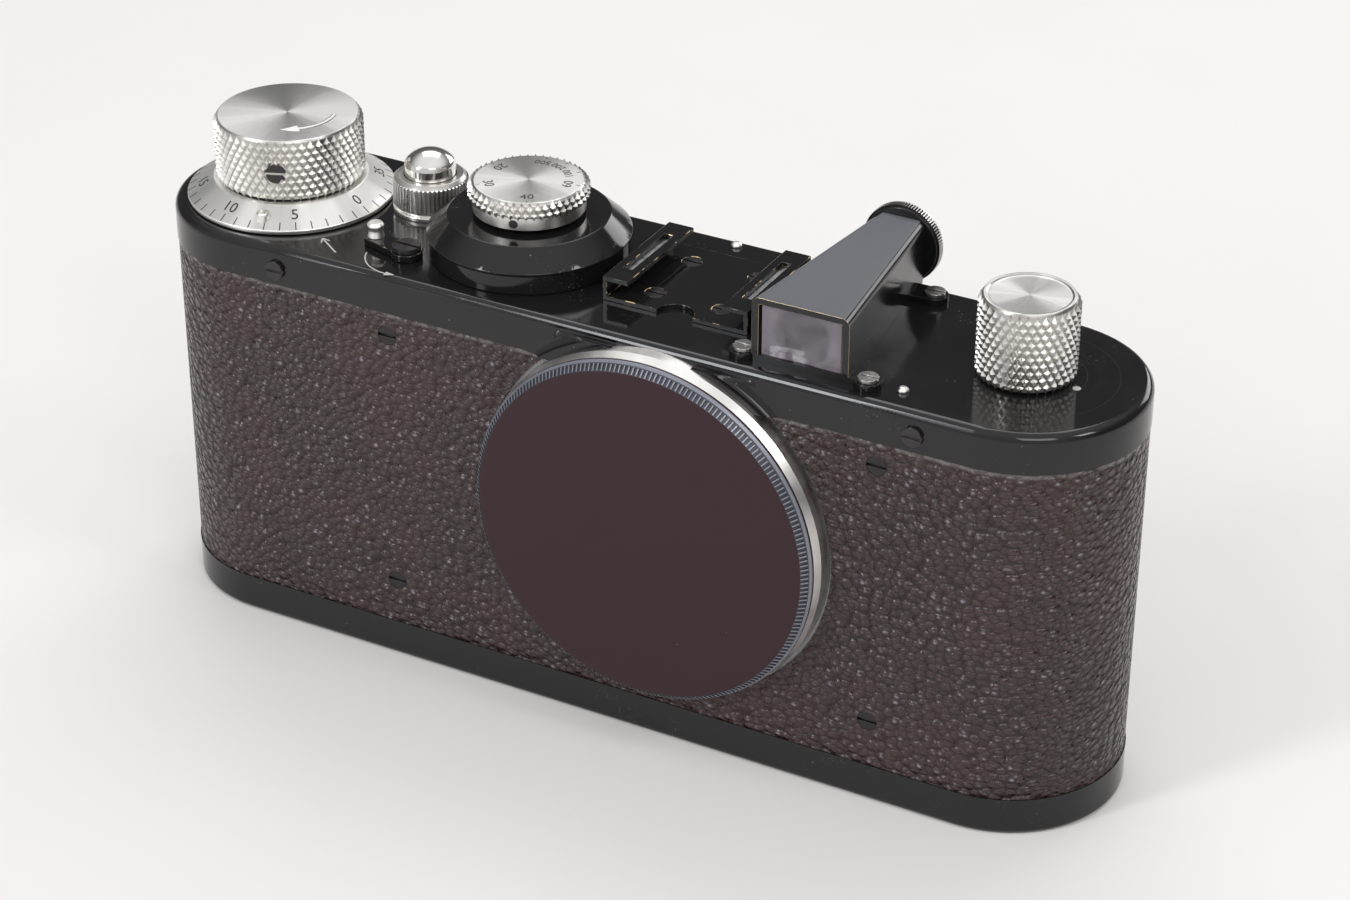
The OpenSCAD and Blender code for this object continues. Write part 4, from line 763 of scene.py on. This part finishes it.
# Speed dial with two rows of points
def makeSpeedDial():
    size = {"depth": 0.45 * mm, "skirt": 7.1 * mm, "rim": 2.0 * mm, "lip": 0.35 * mm, "points": 46, "rows": 2,
            "bore": 5.5 * mm, "roof": 1.2 * mm, "topDeep": 0.4 * mm, "figure": 1.25 * mm, "figureR": 5.1 * mm,
            "long": 0.8, "tickL": 0.9 * mm * 0.55, "tickW": 0.1 * mm, "tickIn": 0.15 * mm, "lift": 0.02 * mm,
            "speeds": {"20": 165, "30": 222, "40": 298, "60": 12, "100": 46, "200": 73, "500": 100}}
    low, high, middle, outer, tall = roundOf("speed_dial")
    inner = outer - size["depth"]
    base = Vector((middle.x, middle.y, low.z))
    rimZ, roofZ = tall - size["rim"], tall - size["roof"]
    corners = [(0, roofZ, 0), (size["bore"], roofZ, 0), (size["bore"], 0, 0), (size["skirt"], 0, 0.1 * mm),
               (size["skirt"], rimZ, 0.05 * mm), (inner, rimZ + 0.1 * mm, 0.05 * mm),
               (inner, tall - size["lip"], 0.1 * mm), (inner - size["lip"], tall, 0.12 * mm), (0, tall, 0)]
    core = turned("speed_dial", corners)
    step = (size["rim"] - size["lip"]) / size["rows"]
    part = diamond(inner, outer, math.pi * inner / size["points"], step, rimZ + 0.55 * step)
    grip = makeNickel("dialGrip", hollow=(base + Vector((0, 0, rimZ)), inner, outer))
    made = copiesRound("speed_dial", core, part, grip, size["points"], size["rows"], step)
    made.transform(Matrix.Translation(base))
    markTop(made, makeSpunNickel("dialTop", middle, dark=0.66), high.z - size["topDeep"])
    settle(asObject("speed_dial.turned", made), "dial", slotOf["speed_dial"], "speed_dial")
    centre = Vector((middle.x, middle.y, 0))
    marks = []
    for speed, degrees in size["speeds"].items():
        angle = math.radians(degrees)
        digits = figure(speed, size["figure"] * (size["long"] if len(speed) > 2 else 1.0))
        marks.append(onCone(digits, centre, angle, size["figureR"], high.z, 0.0))
        out = Vector((math.cos(angle), math.sin(angle)))
        end = Vector((middle.x, middle.y)) + out * (inner - size["lip"] - size["tickIn"])
        line = [end - out * size["tickL"], end]
        marks.append(ribbon("tick", line, [size["tickW"]] * 2, high.z, size["lift"]))
    settle(asObject("speedMarks", joined("speedMarks", marks), blackPaint), "dial", "nickel")


makeSpeedDial()
print("dials drawn")


# Release: a serrated collar round a domed button
def makeRelease():
    size = {"ribs": 52, "depth": 0.26 * mm, "foot": 0.55 * mm, "bevel": 0.45 * mm, "bore": 3.36 * mm,
            "stem": 1.06 * mm, "floor": 1.2 * mm, "fill": 0.82, "tip": 0.2, "sink": 0.08 * mm}
    low, high, middle, outer, tall = roundOf("release_collar")
    inner = outer - size["depth"]
    foot, shoulder = size["foot"], tall - size["bevel"]
    corners = [(size["stem"], 0, 0), (outer, 0, 0.1 * mm), (outer, foot, 0.12 * mm),
               (inner - 0.1 * mm, foot + 0.15 * mm, 0.03 * mm), (inner, foot + 0.35 * mm, 0),
               (inner, shoulder, 0.1 * mm), (inner - size["bevel"], tall, 0.12 * mm),
               (size["bore"], tall, 0.1 * mm), (size["bore"], size["floor"], 0),
               (size["stem"], size["floor"], 0)]
    core = turned("release_collar", corners, closed=True)
    ribLow = foot + 0.4 * mm
    part = upright("rib", inner - size["sink"], outer, outer - 0.05 * mm,
                   math.pi * inner / size["ribs"] * size["fill"], size["tip"], ribLow, shoulder,
                   0.15 * mm, 0.1 * mm)
    base = Vector((middle.x, middle.y, low.z))
    grip = makeNickel("collarNickel", hollow=(base + Vector((0, 0, ribLow)), inner - 0.05 * mm, outer))
    made = copiesRound("release_collar", core, part, grip, size["ribs"])
    made.transform(Matrix.Translation(base))
    settle(asObject("release_collar.turned", made), "collar", slotOf["release_collar"], "release_collar")
    dressNode("release_button", 0.35 * mm, finish=makeNickel("buttonNickel", rough=(0.12, 0.22)))


makeRelease()
spring = dressNode("release_spring", 0.0)
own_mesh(spring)


# Body cap with a finely ribbed bevel
def makeCap():
    size = {"rim": 0.75 * mm, "faceR": 22.15 * mm, "ribs": 236, "depth": 0.22 * mm, "spigotR": 19.2 * mm,
            "spigotT": 1.5 * mm, "spigotL": 3.0 * mm, "ledge": 0.05 * mm, "plain": 0.22, "sink": 0.12 * mm,
            "fill": 0.62, "tip": 0.5, "proud": 0.04 * mm}
    low, high, middle, outer, _ = roundOf("body_cap")
    bevelR = outer - size["ledge"]
    grooveR = bevelR - size["depth"]
    faceR, rim, spigotR, spigotL = size["faceR"], size["rim"], size["spigotR"], size["spigotL"]
    back = high.y - spigotL  # back of the rim, where the flange begins
    tall = back - low.y
    inSpigot = spigotR - size["spigotT"]
    corners = [(0, 0, 0), (inSpigot, 0, 0), (inSpigot, -spigotL, 0.1 * mm), (spigotR, -spigotL, 0.1 * mm),
               (spigotR, 0, 0), (outer, 0, 0.05 * mm), (outer, rim - 0.3 * mm, 0.1 * mm), (grooveR, rim, 0),
               (faceR, tall - 0.06 * mm, 0.06 * mm), (faceR - 0.5 * mm, tall - 0.02 * mm, 0.1 * mm),
               (0, tall, 0)]
    core = turned("body_cap", corners, size["ribs"])
    half, sink = math.pi * bevelR / size["ribs"] * size["fill"], size["sink"]
    inR, inZ = faceR + 0.08 * mm, tall - 0.12 * mm
    outR = bevelR + (inR - bevelR) * size["plain"]  # the bevel's outer part stays plain
    outZ = rim + (inZ - rim) * size["plain"] - 0.05 * mm
    outLift = size["depth"] * 0.8
    inLift, tip = outLift * 0.4, half * size["tip"]
    part = solidOf("rib", [(outR - sink, -half, outZ - sink), (inR - sink, -half, inZ - sink),
                           (inR - sink, half, inZ - sink), (outR - sink, half, outZ - sink)],
                   [(outR, -tip, outZ + outLift), (inR, -tip, inZ + inLift),
                    (inR, tip, inZ + inLift), (outR, tip, outZ + outLift)])
    made = copiesRound("body_cap", core, part, finishes["cap_black"], size["ribs"])
    made.transform(Matrix.Translation((middle.x, back, middle.z)) @ Matrix.Rotation(math.pi / 2, 4, "X"))
    made.materials.append(makePlain("capBevelHighlight", (0.24, 0.25, 0.29), 0.34, 0.4))
    made.materials.append(makePlain("capGrooveShade", (0.05, 0.052, 0.064), 0.4, 0.2))
    for face in made.polygons:  # painted highlight makes the ribs and plain rim pale; painted shade makes the grooves between them dark
        far = (face.center - Vector((middle.x, face.center.y, middle.z))).length
        share = (grooveR - far) / (grooveR - faceR)
        proud = back - face.center.y - rim - share * (tall - rim)
        if faceR < far and face.center.y < back - 0.3 * mm:
            face.material_index = 1 if proud > size["proud"] or far > outR else 2
    settle(asObject("body_cap.turned", made), "cap", slotOf["body_cap"], "body_cap")


makeCap()
print("release and cap turned")


# Lacquered pieces: softened edges, rubbed bright where hands reach them
lensFront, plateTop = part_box("finder_front_lens")[0].y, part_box("top_cover")[1].z
housingSizes = {"soft": 0.3 * mm, "front": 0.2 * mm, "foot": 0.9 * mm, "roof": 5 * mm, "level": 0.95}


def onFinderFront(point):
    return point.y < lensFront + housingSizes["front"] and point.z > plateTop + housingSizes["foot"]


housing = dressNode("finder_housing", housingSizes["soft"], rubbedLacquer, onFinderFront, wallLacquer)
housing.data.materials.append(roofSheenLacquer)
for face in housing.data.polygons:  # the roof gets a dull satin finish, lightened to a bluish grey as a painted reflection
    isRoof = face.normal.z > housingSizes["level"] and face.center.z > plateTop + housingSizes["roof"]
    if isRoof and not face.material_index:
        face.material_index = 2
dressNode("accessory_shoe", 0.1 * mm, wornLacquer)
dressNode("dial_turret", 0.16 * mm)
dressNode("rewind_lever", 0.14 * mm, wornLacquer, None, finishes["black_lacquer"])


# Eyepiece ring with fine teeth
def makeEyeRing():
    size = {"radius": 5.15 * mm, "depth": 0.28 * mm, "teeth": 88, "hole": 2.2 * mm, "glass": 3.2 * mm,
            "seat": 0.5 * mm, "fill": 0.7, "tip": 0.6, "sink": 0.06 * mm, "slope": 0.1 * mm}
    low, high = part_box("eyepiece_ring")
    middle = (low + high) / 2
    thick, inner = high.y - low.y, size["radius"] - size["depth"]
    corners = [(size["hole"], 0, 0), (inner, 0, 0.15 * mm), (inner, thick, 0.2 * mm),
               (size["glass"], thick, 0.1 * mm), (size["glass"], size["seat"], 0),
               (size["hole"], size["seat"], 0)]
    core = turned("eyepiece_ring", corners, closed=True)
    part = upright("tooth", inner - size["sink"], size["radius"], size["radius"],
                   math.pi * inner / size["teeth"] * size["fill"], size["tip"], 0.2 * mm, thick - 0.25 * mm,
                   size["slope"], size["slope"])
    made = copiesRound("eyepiece_ring", core, part, wallLacquer, size["teeth"])
    made.materials.append(finishes["nickel"])
    for face in made.polygons:  # teeth rubbed through to the metal
        if (face.center * Vector((1, 1, 0))).length > inner + 0.4 * size["depth"]:
            face.material_index = 1
    made.transform(Matrix.Translation((middle.x, low.y, middle.z)) @ Matrix.Rotation(-math.pi / 2, 4, "X"))
    settle(asObject("eyepiece_ring.turned", made), bodyOf["eyepiece_ring"], slotOf["eyepiece_ring"],
           "eyepiece_ring")


makeEyeRing()
shownNodes = {"top_cover": 0.0, "base_plate": 0.0, "lens_flange": 0.12 * mm, "lever_post": 0.1 * mm,
              "shoe_springs": 0.06 * mm, "plate_studs": 0.08 * mm, "body_covering": 0.0,
              "top_cover_screws": 0.12 * mm, "shoe_screws": 0.08 * mm, "lock_disc": 0.1 * mm,
              "lock_handle": 0.15 * mm, "tripod_bush": 0.1 * mm}
for node, width in shownNodes.items():
    dressNode(node, width)
sunkScrew = makePlain("sunkScrew", (0.014, 0.012, 0.012), 0.4, 0.2)
dressNode("covering_screws", 0.08 * mm, finish=sunkScrew)
rubbedScrew = makePlain("rubbedScrew", (0.36, 0.35, 0.34), 0.26, 0.9)
dressNode("finder_screws", 0.12 * mm, finish=rubbedScrew)
dressNode("lever_screw", 0.2 * mm, finish=finishes["black_screw"])
screwProud = 0.12 * mm
for node, knob in (("wind_knob_screw", "wind_knob"), ("speed_dial_screw", "speed_dial")):
    out = (middleOf(node) - middleOf(knob)) * Vector((1, 1, 0))
    dressNode(node, 0.08 * mm, finish=finishes["black_screw"], shift=out.normalized() * screwProud)
for node, solid in frame["nodes"].items():
    solid.data.materials.clear()
    solid.data.materials.append(finishes[slotOf[node]])


# White-filled marks on the top plate
def drawPlateMarks():
    size = {"line": 0.2 * mm, "tail": Vector((-36.6, -12.4)) * mm, "tip": Vector((-40.2, -9.9)) * mm,
            "head": 1.1 * mm, "headL": 1.0 * mm, "arcR": 5.2 * mm, "arcFrom": 196, "arcTo": 284, "steps": 20,
            "arcHead": (0.9 * mm, 0.05 * mm), "over": 0.002 * mm, "dot": 0.5 * mm, "dotSides": 24,
            "dotAt": Vector((58.1, -0.6)) * mm, "dotLow": 0.02 * mm, "dotHigh": 0.03 * mm}
    tail, tip = size["tail"], size["tip"]
    along = (tip - tail).normalized()
    side = Vector((-along.y, along.x))
    neck = tip - along * size["headL"]
    strokes = [ribbon("shaft", [tail, tip], [size["line"]] * 2, plateTop)]
    for sign in (-1, 1):
        barb = [neck + side * sign * size["head"] / 2, tip]
        strokes.append(ribbon("barb", barb, [size["line"]] * 2, plateTop + sign * size["over"]))
    arc = arcPoints(middleOf("lever_screw"), size["arcR"], size["arcFrom"], size["arcTo"], size["steps"])
    strokes.append(ribbon("arc", arc, [size["line"] * 0.8] * len(arc), plateTop))
    strokes.append(ribbon("arcHead", [arc[-4], arc[-1]], size["arcHead"], plateTop + size["over"]))
    turns = [math.tau * k / size["dotSides"] for k in range(size["dotSides"])]
    dot = [size["dotAt"] + size["dot"] * Vector((math.cos(a), math.sin(a))) for a in turns]
    strokes.append(solidOf("dot", [(*p, plateTop - size["dotLow"]) for p in dot],
                           [(*p, plateTop + size["dotHigh"]) for p in dot]))
    settle(asObject("plateMarks", joined("plateMarks", strokes), greyPaint), "camera", "black_lacquer")


drawPlateMarks()
print("solids dressed and marked")


# Camera, as the photograph was taken
photo = {"azimuth": 28.273, "elevation": 29.999, "distance": 430.512 * mm, "roll": 0.003, "width": 1350,
         "focal": 3418.68, "target": Vector((4.876, 0, 32.335)) * mm, "sensor": 36.0}


def placeCamera():
    turn, rise = math.radians(photo["azimuth"]), math.radians(photo["elevation"])
    back = Vector((math.sin(turn) * math.cos(rise), -math.cos(turn) * math.cos(rise), math.sin(rise)))
    right = (-back).cross(Vector((0, 0, 1))).normalized()
    up = right.cross(-back)
    c, s = math.cos(photo["roll"]), math.sin(photo["roll"])
    axes = Matrix((c * right + s * up, c * up - s * right, back)).transposed().to_4x4()
    lens = bpy.data.cameras.new("photoCamera")
    lens.sensor_fit = "HORIZONTAL"
    lens.sensor_width = photo["sensor"]
    lens.lens = photo["focal"] * photo["sensor"] / photo["width"]
    lens.clip_start = 0.01
    camera = bpy.data.objects.new("photoCamera", lens)
    camera.matrix_world = Matrix.Translation(photo["target"] + back * photo["distance"]) @ axes
    scene.collection.objects.link(camera)
    scene.camera = camera


# Pale floor and soft light
def layFloor():
    size = {"half": 3.0, "cloud": 0.05, "segments": 8}
    graph = newFinish("paleFloor", (0.80, 0.78, 0.76))
    shade = graph.mix(graph.noise(size["cloud"], 4), tint(0.78, 0.76, 0.74), tint(0.82, 0.80, 0.78))
    material = closeFinish(graph, {"Base Color": shade, "Roughness": 0.65})
    bm = bmesh.new()
    bmesh.ops.create_grid(bm, x_segments=size["segments"], y_segments=size["segments"], size=size["half"])
    floor = asObject("floor", fromBmesh("floor", bm), material)


def hangLamp(name, place, aim, width, height, power, colour=(1, 1, 1)):
    lamp = bpy.data.lights.new(name, "AREA")
    lamp.shape = "RECTANGLE"
    lamp.size = width
    lamp.size_y = height
    lamp.energy = power
    lamp.color = colour
    hung = bpy.data.objects.new(name, lamp)
    hung.location = place
    hung.rotation_euler = (Vector(aim) - Vector(place)).to_track_quat("-Z", "Y").to_euler()
    scene.collection.objects.link(hung)


def lightStudio():
    tones = {"behind": tint(0.13, 0.13, 0.135), "before": tint(0.72, 0.72, 0.73), "above": tint(1.0, 1.0, 1.02)}
    strength, aim = 0.93, (0.0, 0.0, 0.03)
    world = bpy.data.worlds.new("studio")
    world.use_nodes = True
    graph = Graph(world.node_tree)
    world.node_tree.nodes.clear()
    coords = graph.node("ShaderNodeTexCoord", out="Generated")
    way = graph.node("ShaderNodeSeparateXYZ", None, {"Vector": coords})
    front = way.other("Y").between(0.1, -0.7)
    level = graph.mix(front, tones["behind"], tones["before"])
    sky = graph.mix(way.other("Z").between(0.45, 0.95), level, tones["above"])
    shade = graph.node("ShaderNodeBackground", None, {"Color": sky, "Strength": strength})
    graph.node("ShaderNodeOutputWorld", None, {"Surface": shade})
    scene.world = world
    hangLamp("overhead", (-0.20, 0.35, 0.60), aim, 0.45, 0.30, 1.0)
    hangLamp("frontStrip", (-0.37, -0.68, 0.54), aim, 0.14, 0.50, 2.8, (0.94, 0.97, 1.0))
    hangLamp("frontRight", (0.42, -0.50, 0.62), aim, 0.40, 0.30, 1.5)
    hangLamp("rightHigh", (0.58, -0.04, 0.52), aim, 0.16, 0.16, 0.7)
    hangLamp("backPanel", (0.21, 0.90, 0.375), aim, 0.50, 0.30, 1.9)


placeCamera()
layFloor()
lightStudio()
print("camera, floor and lights placed")
